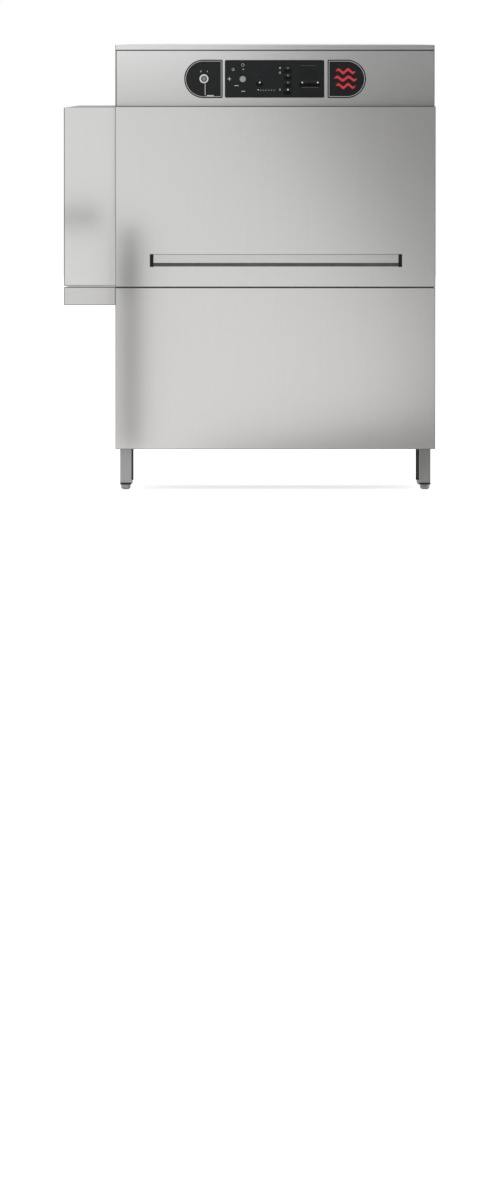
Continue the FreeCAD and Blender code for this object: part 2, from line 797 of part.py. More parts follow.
# The handle: one drawn profile with a grip that hangs over the finger slot.
def door_handle():
    piece = Piece("door_handle", f"{LEFT} + recess_left + end_cap_width", FRONT,
                  "door_bottom + recess_bottom")
    section = piece.sketch("YZ")
    wall = "handle_wall"
    deep = "(door_thick - 2 * metal + 1)"
    top = "recess_height"
    piece.outline(section, [
        ("0", "0"), (deep, "0"), (deep, top), ("0", top), ("0", "grip_gap"),
        ("3 * handle_wall", "grip_gap"), ("3 * handle_wall", f"grip_gap + {wall}"),
        (wall, f"grip_gap + {wall}"), (wall, f"{top} - {wall}"),
        (f"{deep} - {wall}", f"{top} - {wall}"), (f"{deep} - {wall}", wall), ("0", wall)])
    piece.pad(section, "recess_width - 2 * end_cap_width", "+")
    return piece.body


# Black plastic caps that close the two ends of the handle.
def handle_end_caps():
    piece = Piece("handle_end_caps", f"{LEFT} + recess_left", FRONT,
                  "door_bottom + recess_bottom")
    face = piece.rectangle(piece.sketch("XZ"), "0", "0", "end_cap_width", "recess_height")
    block = piece.pad(face, "door_thick - 2 * metal + 1", "+")
    dish = piece.sketch("XZ")
    piece.rectangle(dish, "2", "2", "end_cap_width - 2", "recess_height - 2")
    hollow = piece.pocket(dish, "door_thick / 2", "+")
    piece.repeat([block, hollow], [("X", "recess_width - end_cap_width", 2)])
    return piece.body


# Nylon blocks on the back of the door, which run in the door rails.
def door_slide_blocks():
    piece = Piece("door_slide_blocks", f"{LEFT} + metal + rail_wide / 2", DOOR_BACK,
                  "block_bottom")
    section = piece.sketch("XY")
    neck = "(rail_slot / 2 - running_gap)"
    head = "(rail_wide / 2 - rail_wall - running_gap)"
    start = "(door_gap + rail_wall + running_gap)"
    end = "(door_gap + rail_deep - rail_wall - running_gap)"
    piece.outline(section, [
        (f"-{neck}", "0"), (neck, "0"), (neck, start), (head, start), (head, end),
        (f"-{head}", end), (f"-{head}", start), (f"-{neck}", start)])
    block = piece.pad(section, "block_height", "+")
    piece.repeat([block], [("X", RAIL_STEP, 2), ("Z", "block_step", 2)])
    return piece.body


# C-section rails inside the front corners of the casing.
def door_rails():
    piece = Piece("door_rails", f"{LEFT} + metal", CASE_FRONT, "rail_bottom")
    section = piece.sketch("XY")
    wall = "rail_wall"
    lip = "(rail_wide - rail_slot) / 2"
    piece.outline(section, [
        (lip, "0"), ("0", "0"), ("0", "rail_deep"), ("rail_wide", "rail_deep"),
        ("rail_wide", "0"), (f"rail_wide - {lip}", "0"), (f"rail_wide - {lip}", wall),
        (f"rail_wide - {wall}", wall), (f"rail_wide - {wall}", f"rail_deep - {wall}"),
        (wall, f"rail_deep - {wall}"), (wall, wall), (lip, wall)])
    rail = piece.pad(section, "rail_top - rail_bottom", "+")
    piece.repeat([rail], [("X", RAIL_STEP, 2)])
    return piece.body


# Gas strut tubes, standing on the side wall folds under the door rails.
def strut_cylinders():
    piece = Piece("strut_cylinders", f"{LEFT} + metal + rail_wide / 2", RAIL_MIDDLE_Y)
    half = piece.sketch("XZ")
    bore = "strut_radius - strut_wall"
    foot_level = f"{BASE_TOP} + metal"
    piece.outline(half, [
        ("0", foot_level), ("strut_radius", foot_level), ("strut_radius", "strut_top"),
        ("rod_radius + 0.1", "strut_top"), ("rod_radius + 0.1", "strut_top - strut_cap"),
        (bore, "strut_top - strut_cap"), (bore, f"{foot_level} + 2"), ("0", f"{foot_level} + 2")])
    tube = piece.spin(half, "V_Axis")
    piece.repeat([tube], [("X", RAIL_STEP, 2)])
    return piece.body


# Gas strut rods with their pistons, which carry the lower slide blocks.
def strut_rods():
    piece = Piece("strut_rods", f"{LEFT} + metal + rail_wide / 2", RAIL_MIDDLE_Y)
    half = piece.sketch("XZ")
    piston_bottom = "(strut_top - strut_cap - 1 - piston_height - door_travel)"
    piston = "strut_radius - strut_wall - 0.1"
    piece.outline(half, [
        ("0", piston_bottom), (piston, piston_bottom),
        (piston, f"{piston_bottom} + piston_height"),
        ("rod_radius", f"{piston_bottom} + piston_height"), ("rod_radius", "block_bottom"),
        ("0", "block_bottom")])
    rod = piece.spin(half, "V_Axis")
    piece.repeat([rod], [("X", RAIL_STEP, 2)])
    return piece.body


# A fascia plate with one round end, left or right.
def round_end_plate(label, left, round_left):
    piece = Piece(label, f"{LEFT} + {left}", FASCIA_FRONT, "plate_centre")
    radius = "end_plate_height / 2"
    centre = radius if round_left else f"(end_plate_width - {radius})"
    square_end = "end_plate_width" if round_left else "0"
    low, high = (centre, square_end) if round_left else (square_end, centre)
    face = piece.rectangle(piece.sketch("XZ"), low, f"-{radius}", high, radius)
    piece.pad(face, "plate_thick", "-")
    side = "+x" if round_left else "-x"
    piece.soften("plate_corner", lambda edge, shape: runs_along(edge, "y")
                 and lies_on(edge, shape, side))
    end = piece.disc(piece.sketch("XZ"), centre, "0", radius)
    piece.pad(end, "plate_thick", "-")
    return piece


def switch_plate():
    piece = round_end_plate("switch_plate", "switch_plate_left", True)
    hole = piece.disc(piece.sketch("XZ"), "main_knob_x - switch_plate_left", "0",
                      "spindle_radius + 0.5")
    piece.pocket(hole, "plate_thick", "-")
    return piece.body


def wave_plate():
    return round_end_plate("wave_plate", "wave_plate_left", False).body


# Buttons as (name, left edge, width, middle level, height); windows the same way.
BUTTONS = [
    ("start_button", 506.5, 24, 1464, 28),
    ("column_button_1", 606.5, 25.5, 1509, 21),
    ("column_button_2", 606.5, 25.5, 1483.5, 21),
    ("column_button_3", 606.5, 25.5, 1457, 21),
    ("column_button_4", 606.5, 25.5, 1430.5, 21),
    ("left_level_button", 661, 36, 1460.5, 25),
    ("right_level_button", 698, 36, 1460.5, 25),
]
WINDOWS = [(506.5, 70, 1495, 25), (664.5, 61, 1494.5, 26), (509, 67, 1435.5, 20)]


def control_plate():
    piece = Piece("control_plate", LEFT, FASCIA_FRONT)
    blank = piece.sketch("XZ")
    half = "control_plate_height / 2"
    piece.rectangle(blank, "control_plate_left", f"plate_centre - {half}",
                    "control_plate_left + control_plate_width", f"plate_centre + {half}")
    piece.pad(blank, "plate_thick", "-")
    piece.soften("plate_corner", lambda edge, shape: runs_along(edge, "y"))
    holes = piece.sketch("XZ")
    piece.disc(holes, "programme_knob_x", "plate_centre - 1", "spindle_radius + 0.5")
    for _, left, width, middle, height in BUTTONS:
        piece.rectangle(holes, f"{left}", f"{middle - height / 2}", f"{left + width}",
                        f"{middle + height / 2}")
    for left, width, middle, height in WINDOWS:
        piece.rectangle(holes, f"{left}", f"{middle - height / 2}", f"{left + width}",
                        f"{middle + height / 2}")
    piece.pocket(holes, "plate_thick", "-")
    return piece.body


# Clear panes over the two readouts and the pill-shaped lens of the signal lamps.
def display_windows():
    piece = Piece("display_windows", LEFT, FASCIA_FRONT)
    panes = piece.sketch("XZ")
    for left, width, middle, height in WINDOWS:
        piece.rectangle(panes, f"{left} + 0.1", f"{middle - height / 2} + 0.1",
                        f"{left + width} - 0.1", f"{middle + height / 2} - 0.1")
    piece.pad(panes, "plate_thick + 0.3", "-")
    return piece.body


# A push button: a cap that shows and a lip behind the plate that keeps it in.
def button(label, left, width, middle, height):
    piece = Piece(label, f"{LEFT} + {left + width / 2}", FASCIA_FRONT, f"{middle}")
    cap = piece.sketch("XZ", "running_gap")
    across = f"{width / 2} - button_gap"
    up = f"{height / 2} - button_gap"
    piece.rectangle(cap, f"-({across})", f"-({up})", across, up)
    piece.pad(cap, "plate_thick + button_proud + running_gap", "-")
    piece.soften("button_corner", lambda edge, shape: runs_along(edge, "y"), "Chamfer")
    lip = piece.sketch("XZ", "running_gap")
    wide = f"{width / 2} - button_gap"
    tall = f"{height / 2} + button_lip"
    piece.rectangle(lip, f"-({wide})", f"-({tall})", wide, tall)
    piece.pad(lip, "2 * button_travel", "+")
    return piece.body


# A turned knob with a raised grip bar and a spindle that runs back through the fascia.
def main_switch_knob():
    piece = Piece("main_switch_knob", f"{LEFT} + main_knob_x", PLATE_FRONT, "plate_centre")
    dial = piece.disc(piece.sketch("XZ", "-0.3"), "0", "0", "main_knob_radius")
    piece.pad(dial, "main_knob_height", "-")
    piece.soften("1.2", front_edges, "Chamfer")
    bar = piece.sketch("XZ", "-main_knob_height + 1")
    piece.rectangle(bar, "-4", "-main_knob_radius + 3", "4", "main_knob_radius - 1.5")
    piece.pad(bar, "knob_height - main_knob_height", "-")
    piece.soften("1.5", front_edges, "Chamfer")
    spindle = piece.disc(piece.sketch("XZ", "-0.3"), "0", "0", "spindle_radius")
    piece.pad(spindle, "spindle_length", "+")
    return piece.body


def programme_knob():
    piece = Piece("programme_knob", f"{LEFT} + programme_knob_x", PLATE_FRONT,
                  "plate_centre - 1")
    half = piece.sketch("XY")
    piece.outline(half, [
        ("0", "spindle_length"), ("spindle_radius", "spindle_length"), ("spindle_radius", "-0.3"),
        ("programme_knob_radius", "-0.3"), ("programme_knob_radius", "-3.5"),
        ("programme_knob_radius - 2.5", "-3.5"), ("programme_knob_radius - 2.5", "-knob_height"),
        ("0", "-knob_height")])
    piece.spin(half, "V_Axis")
    mark = piece.sketch("XZ", "-knob_height")
    piece.rectangle(mark, "-0.8", "4", "0.8", "programme_knob_radius - 1")
    piece.pocket(mark, "1", "+")
    return piece.body


# The track: two rack rails with three cross bars, and a lug for the exit switch.
def rack_track():
    piece = Piece("rack_track", HOOD_LEFT, "0")
    ends = "metal"
    length = f"(hood_length + body_length - side_lap - 2 * {ends})"
    low = "tunnel_bottom"
    ledge = "track_level"
    for side in ("", "-"):
        section = piece.sketch("YZ", ends)
        inner = f"{side}(rail_half - 22)"
        web = f"{side}rail_half"
        skin = f"{side}(rail_half + metal)"
        piece.outline(section, [
            (f"{side}(rail_half - 18)", low), (skin, low), (skin, "guide_top"),
            (web, "guide_top"), (web, ledge), (inner, ledge), (inner, f"{ledge} - metal"),
            (web, f"{ledge} - metal"), (web, f"{low} + metal"),
            (f"{side}(rail_half - 18)", f"{low} + metal")])
        piece.pad(section, length, "+")
    bars = piece.sketch("XY", f"{low} + metal")
    for place_x in ("-cross_bar_reach", "0", "cross_bar_reach"):
        middle = f"{place_x} - {HOOD_LEFT}"
        piece.rectangle(bars, f"{middle} - cross_bar_wide / 2", "-rail_half",
                        f"{middle} + cross_bar_wide / 2", "rail_half")
    piece.pad(bars, "cross_bar_height", "+")
    lug = piece.sketch("XZ", "-226")
    start = f"cross_bar_reach - cross_bar_wide / 2 - {HOOD_LEFT}"
    piece.rectangle(lug, start, f"{low} + metal", f"switch_x + 14 - {HOOD_LEFT}",
                    "track_level - 8")
    piece.pad(lug, "6", "-")
    hole = piece.disc(piece.sketch("XZ", "-226"), f"switch_x - {HOOD_LEFT}", PAWL_LEVEL, "4.08")
    piece.pocket(hole, "6", "-")
    return piece.body


# The reciprocating drag frame: two long bars, cross bars that stop the pawls, and the drive fork.
def drag_frame():
    piece = Piece("drag_frame", "0", "0", DRAG_BOTTOM)
    outer = "(drag_inside + drag_bar_wide)"
    plan = piece.sketch("XY")
    piece.rectangle(plan, "-drag_half_length", f"-{outer}", "drag_half_length", outer)
    stops = []
    for pawl in ("entry_pawl_x", "centre_pawl_x", "exit_pawl_x"):
        face = f"{pawl} - 8 - running_gap"
        stops.append((f"{face} - drag_bar_wide", face))
    starts = ["-drag_half_length + drag_bar_wide"] + [high for _, high in stops]
    ends = [low for low, _ in stops] + ["drag_half_length - drag_bar_wide"]
    for low, high in zip(starts, ends):
        piece.rectangle(plan, low, "-drag_inside", high, "drag_inside")
    piece.pad(plan, "drag_bar_height", "+")
    under = piece.sketch("XY")
    for low, high in stops:
        piece.rectangle(under, low, "-drag_inside", high, "drag_inside")
    piece.pocket(under, "drag_bar_height / 2 + 1", "+")
    bores = piece.sketch("XZ", f"-{outer}")
    for pawl in ("entry_pawl_x", "centre_pawl_x", "exit_pawl_x"):
        piece.disc(bores, pawl, "drag_bar_height / 2", "pawl_shaft_radius + 0.1")
    piece.pocket(bores, f"2 * {outer}", "+")
    arm = piece.sketch("XY")
    piece.rectangle(arm, "drive_x - 25", "drag_inside + drag_bar_wide - 1", "drive_x + 25", "242")
    piece.pad(arm, "drag_bar_height", "+")
    fork = piece.sketch("XZ", "230")
    foot_level = f"pin_level - 17 - {DRAG_BOTTOM}"
    slot = "(pin_radius + pin_clearance)"
    piece.outline(fork, [
        ("drive_x - 25", "1"), ("drive_x - 25", foot_level), (f"drive_x - {slot}", foot_level),
        (f"drive_x - {slot}", f"pin_level + 14 - {DRAG_BOTTOM}"),
        (f"drive_x + {slot}", f"pin_level + 14 - {DRAG_BOTTOM}"),
        (f"drive_x + {slot}", foot_level), ("drive_x + 25", foot_level), ("drive_x + 25", "1")])
    piece.pad(fork, "12", "+")
    return piece.body


# A pair of weighted pawls on a cross shaft: they push a rack on and fold under it on the way back.
def pawls(label, x):
    piece = Piece(label, x, "0", PAWL_LEVEL)
    for middle in ("-pawl_half_spread", "pawl_half_spread"):
        side = piece.sketch("XZ", f"{middle} - pawl_thick / 2")
        piece.outline(side, [
            ("-8", "1"), ("-4", "-8"), ("-4", "-20"), ("-14", "-20"), ("-14", "-34"),
            ("4", "-34"), ("4", "-12"), ("8", "-2"), ("8", "20"), ("6", "33"), ("-1", "33"),
            ("-8", "18")])
        piece.pad(side, "pawl_thick", "+")
    shaft = piece.disc(piece.sketch("XZ", "-drag_inside - drag_bar_wide"), "0", "0",
                       "pawl_shaft_radius")
    piece.pad(shaft, "2 * (drag_inside + drag_bar_wide)", "+")
    return piece.body


# The rocker arm: a hub on the gear shaft, a tapered lever and the pin that moves the drag frame.
def rocker_arm():
    piece = Piece("rocker_arm", "drive_x", "0", "drive_level")
    reach = "(pin_level - drive_level)"
    lever = piece.sketch("XZ", "300")
    piece.outline(lever, [
        ("-22", "0"), ("22", "0"), ("12", reach), ("-12", reach)])
    piece.pad(lever, "10", "+")
    hub = piece.disc(piece.sketch("XZ", "296"), "0", "0", "28")
    piece.pad(hub, "20", "+")
    eye = piece.disc(piece.sketch("XZ", "300"), "0", reach, "14")
    piece.pad(eye, "10", "+")
    pin = piece.disc(piece.sketch("XZ", "228"), "0", reach, "pin_radius")
    piece.pad(pin, "80", "+")
    shaft = piece.disc(piece.sketch("XZ", "236"), "0", "0", "drive_shaft_radius")
    piece.pad(shaft, "70", "+")
    return piece.body


# Worm gearmotor on its pedestal, bored for the rocker's shaft.
def drive_gearmotor():
    piece = Piece("drive_gearmotor", "drive_x", "0", "drive_level")
    case = piece.rectangle(piece.sketch("XZ", "190"), "-50", "-50", "50", "50")
    piece.pad(case, "100", "+")
    piece.soften("8", lambda edge, shape: runs_along(edge, "y"), "Chamfer")
    pedestal = piece.sketch("XZ", "205")
    down = f"{BASE_TOP} - drive_level"
    piece.outline(pedestal, [("-38", "-45"), ("-38", down), ("38", down), ("38", "-45")])
    piece.pad(pedestal, "70", "+")
    motor = piece.disc(piece.sketch("YZ", "50"), "240", "0", "52")
    piece.pad(motor, "130", "+")
    bore = piece.disc(piece.sketch("XZ", "230"), "0", "0", "drive_shaft_radius + 0.1")
    piece.pocket(bore, "60", "+")
    return piece.body


# The lever that a rack pushes over at the exit, to stop the drive.
def exit_switch_lever():
    piece = Piece("exit_switch_lever", "switch_x", "0", PAWL_LEVEL)
    side = piece.sketch("XZ", "-225.5")
    piece.outline(side, [("-7", "-7"), ("7", "-7"), ("7", "24"), ("3", "32"), ("-3", "32"),
                         ("-7", "24")])
    piece.pad(side, "6", "+")
    shaft = piece.disc(piece.sketch("XZ", "-236"), "0", "0", "4")
    piece.pad(shaft, "16", "+")
    return piece.body


# Round rods that the splash curtains hang on.
def curtain_rods():
    piece = Piece("curtain_rods")
    entry = piece.disc(piece.sketch("XZ", "metal - hood_half_depth"), "entry_rod_x",
                       "entry_rod_level", "curtain_rod_radius")
    piece.pad(entry, "2 * (hood_half_depth - metal)", "+")
    exit_front = f"({CASE_FRONT} + rail_deep)"
    leaving = piece.disc(piece.sketch("XZ", exit_front), "exit_rod_x", "exit_rod_level",
                         "curtain_rod_radius")
    piece.pad(leaving, f"chamber_back - {exit_front}", "+")
    return piece.body


# A splash curtain: rubber strips below a sleeve that turns on its rod.
def curtain(label, x, level):
    piece = Piece(label, x, "0", level)
    sheet_face = piece.sketch("YZ", "-curtain_thick / 2")
    piece.rectangle(sheet_face, "-curtain_half", f"curtain_bottom - {level}", "curtain_half", "-5")
    piece.pad(sheet_face, "curtain_thick", "+")
    slit = piece.sketch("YZ", "-curtain_thick / 2")
    pitch = f"2 * curtain_half / {STRIP_COUNT}"
    piece.rectangle(slit, f"-curtain_half + {pitch} - curtain_slit / 2",
                    f"curtain_bottom - {level}", f"-curtain_half + {pitch} + curtain_slit / 2",
                    "-60")
    cut = piece.pocket(slit, "curtain_thick", "+")
    gaps = STRIP_COUNT - 2
    piece.repeat([cut], [("Y", f"{gaps} * {pitch}", STRIP_COUNT - 1)])
    sleeve = piece.disc(piece.sketch("XZ", "-curtain_half"), "0", "0", "curtain_rod_radius + 2.5")
    piece.pad(sleeve, "2 * curtain_half", "+")
    bore = piece.disc(piece.sketch("XZ", "-curtain_half"), "0", "0", "curtain_rod_radius + 0.1")
    piece.pocket(bore, "2 * curtain_half", "+")
    return piece.body


# A flat fan nozzle: a four-sided boss that narrows to its slot, pointing up or down.
def nozzle(x, y, level, way, half_side):
    bottom = half_side - 2
    top = half_side + 10
    boss = Part.makeWedge(-9, bottom, -6, -3, -6, 9, top, 6, 3, 6)
    boss.rotate(FreeCAD.Vector(0, 0, 0), FreeCAD.Vector(1, 0, 0), 90 * way)
    boss.translate(FreeCAD.Vector(x, y, level))
    return boss


# A wash or rinse arm: square tube across the racks with its row of nozzles.
def spray_arm(x, back, level, way, half_side):
    reach = number("arm_reach")
    tube = Part.makeBox(2 * half_side, reach + back, 2 * half_side,
                        FreeCAD.Vector(x - half_side, -reach, level - half_side))
    nozzles = [nozzle(x, number("nozzle_first_y") + spot * number("nozzle_pitch"), level, way,
                      half_side) for spot in range(NOZZLE_COUNT)]
    return tube.fuse(nozzles)


# Square header tube along the back of the chamber with its wash arms.
def wash_bank(level, way):
    arm_half = number("arm_radius")
    header_half = number("header_radius")
    header_y = number("header_y")
    first = number("arm_first_x")
    pitch = number("arm_pitch")
    span = (ARM_COUNT - 1) * pitch + 2 * arm_half
    header = Part.makeBox(span, 2 * header_half, 2 * header_half,
                          FreeCAD.Vector(first - arm_half, header_y - header_half,
                                         level - header_half))
    arms = [spray_arm(first + arm * pitch, header_y, level, way, arm_half)
            for arm in range(ARM_COUNT)]
    return header.fuse(arms)


# Upper wash pipework: riser behind the chamber, header and arms over the racks.
def upper_wash_manifold():
    x = number("riser_x")
    gap_y = number("riser_y")
    level = number("upper_arm_level")
    radius = number("riser_radius")
    pump = number("pump_level")
    riser = bent_pipe([(x, 260, pump + 82), (x, 260, pump + 118), (x, gap_y, pump + 118),
                       (x, gap_y, level), (x, number("header_y"), level)], radius, 20)
    return fixed_shape("upper_wash_manifold", wash_bank(level, -1).fuse(riser))


# Lower wash pipework: header and arms under the racks, with a stub to the riser.
def lower_wash_manifold():
    level = number("lower_arm_level")
    y = number("header_y")
    reach = number("riser_y") - number("riser_radius") - number("running_gap") - y
    stub = Part.makeCylinder(number("header_radius"), reach,
                             FreeCAD.Vector(number("riser_x"), y, level),
                             FreeCAD.Vector(0, 1, 0))
    return fixed_shape("lower_wash_manifold", wash_bank(level, 1).fuse(stub))


# Rinse pipework: the supply pipe from the booster, with one arm above and one below the racks.
def rinse_pipework():
    x = number("drain_x") + number("drain_radius") + number("rinse_gap")
    y = number("riser_y")
    radius = number("rinse_radius")
    pipe = number("rinse_pipe_radius")
    booster_back = number("booster_y") + number("booster_radius")
    start_x = number("booster_x") + 50
    level = number("pump_level")
    top = number("upper_arm_level")
    supply = bent_pipe([(start_x, booster_back, level), (start_x, y, level),
                        (start_x, y, level - 84), (x, y, level - 84), (x, y, top + 9)],
                       pipe, 24)
    wall = number("chamber_back") - 3
    shapes = []
    for arm_level, way in ((number("lower_arm_level"), 1), (top, -1)):
        shapes.append(spray_arm(x, wall, arm_level, way, radius))
        shapes.append(Part.makeCylinder(pipe, y - wall + 4, FreeCAD.Vector(x, wall - 4, arm_level),
                                        FreeCAD.Vector(0, 1, 0)))
    return fixed_shape("rinse_pipework", supply.fuse(shapes))


# Suction elbow from the tank's back wall down to the pump's eye, with its flange.
def suction_elbow():
    x = number("pump_x")
    level = number("pump_level")
    upper = level + number("suction_rise")
    tank_back = number("chamber_back") + number("metal")
    radius = number("riser_radius")
    pipe = bent_pipe([(x, 288, level), (x, 326, level), (x, 326, upper), (x, tank_back, upper)],
                     radius, 20)
    flange = Part.makeCylinder(radius + 14, 5, FreeCAD.Vector(x, tank_back, upper),
                               FreeCAD.Vector(0, 1, 0))
    return fixed_shape("suction_elbow", pipe.fuse(flange))


# Wash pump: spiral casing and motor on a foot, with the suction elbow bolted to the casing.
def wash_pump():
    piece = Piece("pump_casing", "pump_x", "0", "pump_level")
    half = piece.sketch("XY")
    piece.outline(half, [
        ("0", "10"), ("64", "10"), ("64", "232"), ("80", "232"), ("80", "290"), ("0", "290")])
    piece.spin(half, "V_Axis")
    outlet = piece.disc(piece.sketch("XY", "-10"), "riser_x - pump_x", "260", "riser_radius")
    piece.pad(outlet, "92", "+")
    foot_plate = piece.sketch("XZ", "60")
    down = f"{BASE_TOP} - pump_level"
    piece.outline(foot_plate, [("-60", down), ("60", down), ("60", f"{down} + 6"), ("30", "-50"),
                               ("-30", "-50"), ("-60", f"{down} + 6")])
    piece.pad(foot_plate, "120", "+")
    whole = doc.addObject("Part::MultiFuse", "wash_pump")
    whole.Label = "wash_pump"
    whole.Shapes = [piece.body, suction_elbow()]
    doc.recompute()
    return whole


# The tank heater: two legs of one tube on a flange, with a terminal cover outside.
def tank_heater():
    x = number("pump_x") - 40
    front = -number("tank_front")
    level = number("pump_level") + number("heater_rise")
    loop = bent_pipe([(x - 18, front - 4, level), (x - 18, 220, level), (x + 18, 220, level),
                      (x + 18, front - 4, level)], 5, 15)
    flange = Part.makeCylinder(36, 6, FreeCAD.Vector(x, front - 6, level),
                               FreeCAD.Vector(0, 1, 0))
    cover = Part.makeCylinder(26, 24, FreeCAD.Vector(x, front - 30, level),
                              FreeCAD.Vector(0, 1, 0))
    return fixed_shape("tank_heater", loop.fuse([flange, cover]))


# The filter tray: a shallow pan with rows of slots, standing on the tank's ledges.
def filter_tray():
    piece = Piece("filter_tray", "-460", "-tank_front + metal + 1", "tray_level")
    width = "(tank_front + chamber_back - metal - 2)"
    block = piece.rectangle(piece.sketch("XY"), "0", "0", "1090", width)
    piece.pad(block, "18", "+")
    piece.hollow(["+z"])
    slot = piece.rectangle(piece.sketch("XY"), "60", "60", "72", f"{width} - 60")
    cut = piece.pocket(slot, "metal", "+")
    piece.repeat([cut], [("X", "560", 15)])
    well = piece.disc(piece.sketch("XY"), "drain_x + 460", "drain_y + tank_front - metal - 1",
                      "30")
    piece.pocket(well, "metal", "+")
    return piece.body


# The overflow standpipe that plugs the drain, with a loop to lift it by.
def overflow_standpipe():
    bottom = number("tank_rim") - number("sump_depth") + number("metal")
    spot = FreeCAD.Vector(number("drain_x"), number("drain_y"), bottom)
    up = FreeCAD.Vector(0, 0, 1)
    top = 650 - bottom
    tube = Part.makeCylinder(20, top, spot, up).cut(Part.makeCylinder(18, top, spot, up))
    collar = Part.makeCylinder(27, 8, spot, up).cut(Part.makeCylinder(18, 8, spot, up))
    handle = Part.makeBox(39, 3, 112, FreeCAD.Vector(spot.x - 19.5, spot.y - 1.5, 644))
    grip = Part.makeBox(27, 5, 24, FreeCAD.Vector(spot.x - 13.5, spot.y - 2.5, 724))
    return fixed_shape("overflow_standpipe", tube.fuse([collar, handle]).cut(grip))


# The drain: down from the sump, then back through the rear panel to a plain pipe end.
def drain_outlet():
    x = number("drain_x")
    y = number("drain_y")
    level = number("drain_level")
    radius = number("drain_radius")
    sump = number("tank_rim") - number("sump_depth")
    end = number("overall_depth") / 2
    shoulder = end - number("pipe_reach") + 0.5
    pipe = bent_pipe([(x, y, sump), (x, y, level), (x, shoulder, level)], radius + 1, 45)
    bore = bent_pipe([(x, y, sump + 1), (x, y, level), (x, end + 1, level)], radius - 3, 45)
    spigot = Part.makeCylinder(radius, end - shoulder + 4, FreeCAD.Vector(x, shoulder - 4, level),
                               FreeCAD.Vector(0, 1, 0))
    flange = Part.makeCylinder(radius + 12, 5, FreeCAD.Vector(x, y, sump - 5),
                               FreeCAD.Vector(0, 0, 1))
    return fixed_shape("drain_outlet", pipe.fuse([flange, spigot]).cut(bore))


# Rinse booster: a lying hot water vessel on two saddles, with its heater flange on the left.
def rinse_booster():
    piece = Piece("rinse_booster", "booster_x", "booster_y", "pump_level")
    half = piece.sketch("XY")
    end = "booster_length / 2"
    flange = "booster_radius * 0.7"
    piece.outline(half, [
        (f"-{end}", "0"), (f"-{end}", flange), (f"-{end} + 14", flange),
        (f"-{end} + 14", "booster_radius"), (end, "booster_radius"), (end, "0")])
    piece.spin(half, "H_Axis")
    for spot in ("-booster_length / 4 - 15", "booster_length / 4 - 15"):
        saddle = piece.sketch("YZ", spot)
        down = f"{BASE_TOP} - pump_level"
        piece.outline(saddle, [("-80", down), ("80", down), ("60", "-50"), ("-60", "-50")])
        piece.pad(saddle, "30", "+")
    return piece.body


def hex_bar(x, y, level, radius, length):
    """Six-sided bar that runs back from y, as the nuts of pipe fittings are."""
    corners = []
    for turn in range(7):
        angle = math.radians(60 * turn)
        corners.append(FreeCAD.Vector(x + radius * math.cos(angle), y,
                                      level + radius * math.sin(angle)))
    return Part.Face(Part.makePolygon(corners)).extrude(FreeCAD.Vector(0, length, 0))


# Water inlet: a threaded stub with a hexagon behind the panel and the valve body inside.
def water_inlet():
    x = number("inlet_x")
    level = number("inlet_level")
    back = number("overall_depth") / 2
    panel = back - number("pipe_reach") - number("metal")
    way = FreeCAD.Vector(0, 1, 0)
    stub = Part.makeCylinder(number("inlet_radius"), back - panel + 4,
                             FreeCAD.Vector(x, panel - 4, level), way)
    bore = Part.makeCylinder(number("inlet_radius") - 3.5, 24, FreeCAD.Vector(x, back - 24, level),
                             way)
    hexagon = hex_bar(x, panel - 10, level, 20, 10)
    valve = Part.makeBox(44, 26, 44, FreeCAD.Vector(x - 22, panel - 36, level - 22))
    return fixed_shape("water_inlet", stub.fuse([hexagon, valve]).cut(bore))


# Cable gland: hexagon outside the panel, hexagonal clamp nut and an open bore.
def cable_gland():
    x = number("gland_x")
    level = number("gland_level")
    panel = number("overall_depth") / 2 - number("pipe_reach")
    way = FreeCAD.Vector(0, 1, 0)
    bore = number("gland_bore")
    thread = Part.makeCylinder(bore + 3, 10, FreeCAD.Vector(x, panel - 8, level), way)
    hexagon = hex_bar(x, panel, level, bore + 6.5, 7)
    nut = hex_bar(x, panel + 7, level, bore + 5, 13)
    hole = Part.makeCylinder(bore, 60, FreeCAD.Vector(x, panel - 20, level), way)
    return fixed_shape("cable_gland", thread.fuse([hexagon, nut]).cut(hole))


parts = [
    base_frame(),
    leg_inserts(),
    foot("foot_front_left", False, False),
    foot("foot_front_right", True, False),
    foot("foot_rear_left", False, True),
    foot("foot_rear_right", True, True),
    end_wall("left_end_wall", LEFT, "+"),
    end_wall("right_end_wall", CASE_RIGHT, "-"),
    rear_panel(),
    chamber_liner(),
    front_frame(),
    fascia_panel(),
    top_lid(),
    entry_hood(),
    hood_drip_tray(),
    wash_tank(),
    lower_front_panel(),
    door_outer_panel(),
    door_inner_panel(),
    door_handle(),
    handle_end_caps(),
    door_slide_blocks(),
    door_rails(),
    strut_cylinders(),
    strut_rods(),
    switch_plate(),
    control_plate(),
    wave_plate(),
    display_windows(),
    main_switch_knob(),
    programme_knob(),
    rack_track(),
    drag_frame(),
    pawls("entry_pawls", "entry_pawl_x"),
    pawls("centre_pawls", "centre_pawl_x"),
    pawls("exit_pawls", "exit_pawl_x"),
    rocker_arm(),
    drive_gearmotor(),
    exit_switch_lever(),
    curtain_rods(),
    curtain("entry_curtain", "entry_rod_x", "entry_rod_level"),
    curtain("exit_curtain", "exit_rod_x", "exit_rod_level"),
    upper_wash_manifold(),
    lower_wash_manifold(),
    rinse_pipework(),
    wash_pump(),
    tank_heater(),
    filter_tray(),
    overflow_standpipe(),
    drain_outlet(),
    rinse_booster(),
    water_inlet(),
    cable_gland(),
]
for row in BUTTONS:
    parts.append(button(*row))

doc.recompute()
faults = [item.Name for item in doc.Objects if "Invalid" in item.State or "Error" in item.State]
for part in parts:
    if part.Shape.isNull() or not part.Shape.isValid():
        faults.append(part.Label)
if faults:
    raise ValueError("not built: " + ", ".join(faults))

os.makedirs("parts", exist_ok=True)
for part in parts:
    part.Shape.exportStep(f"parts/{part.Label}.step")
print(len(parts), "parts written")
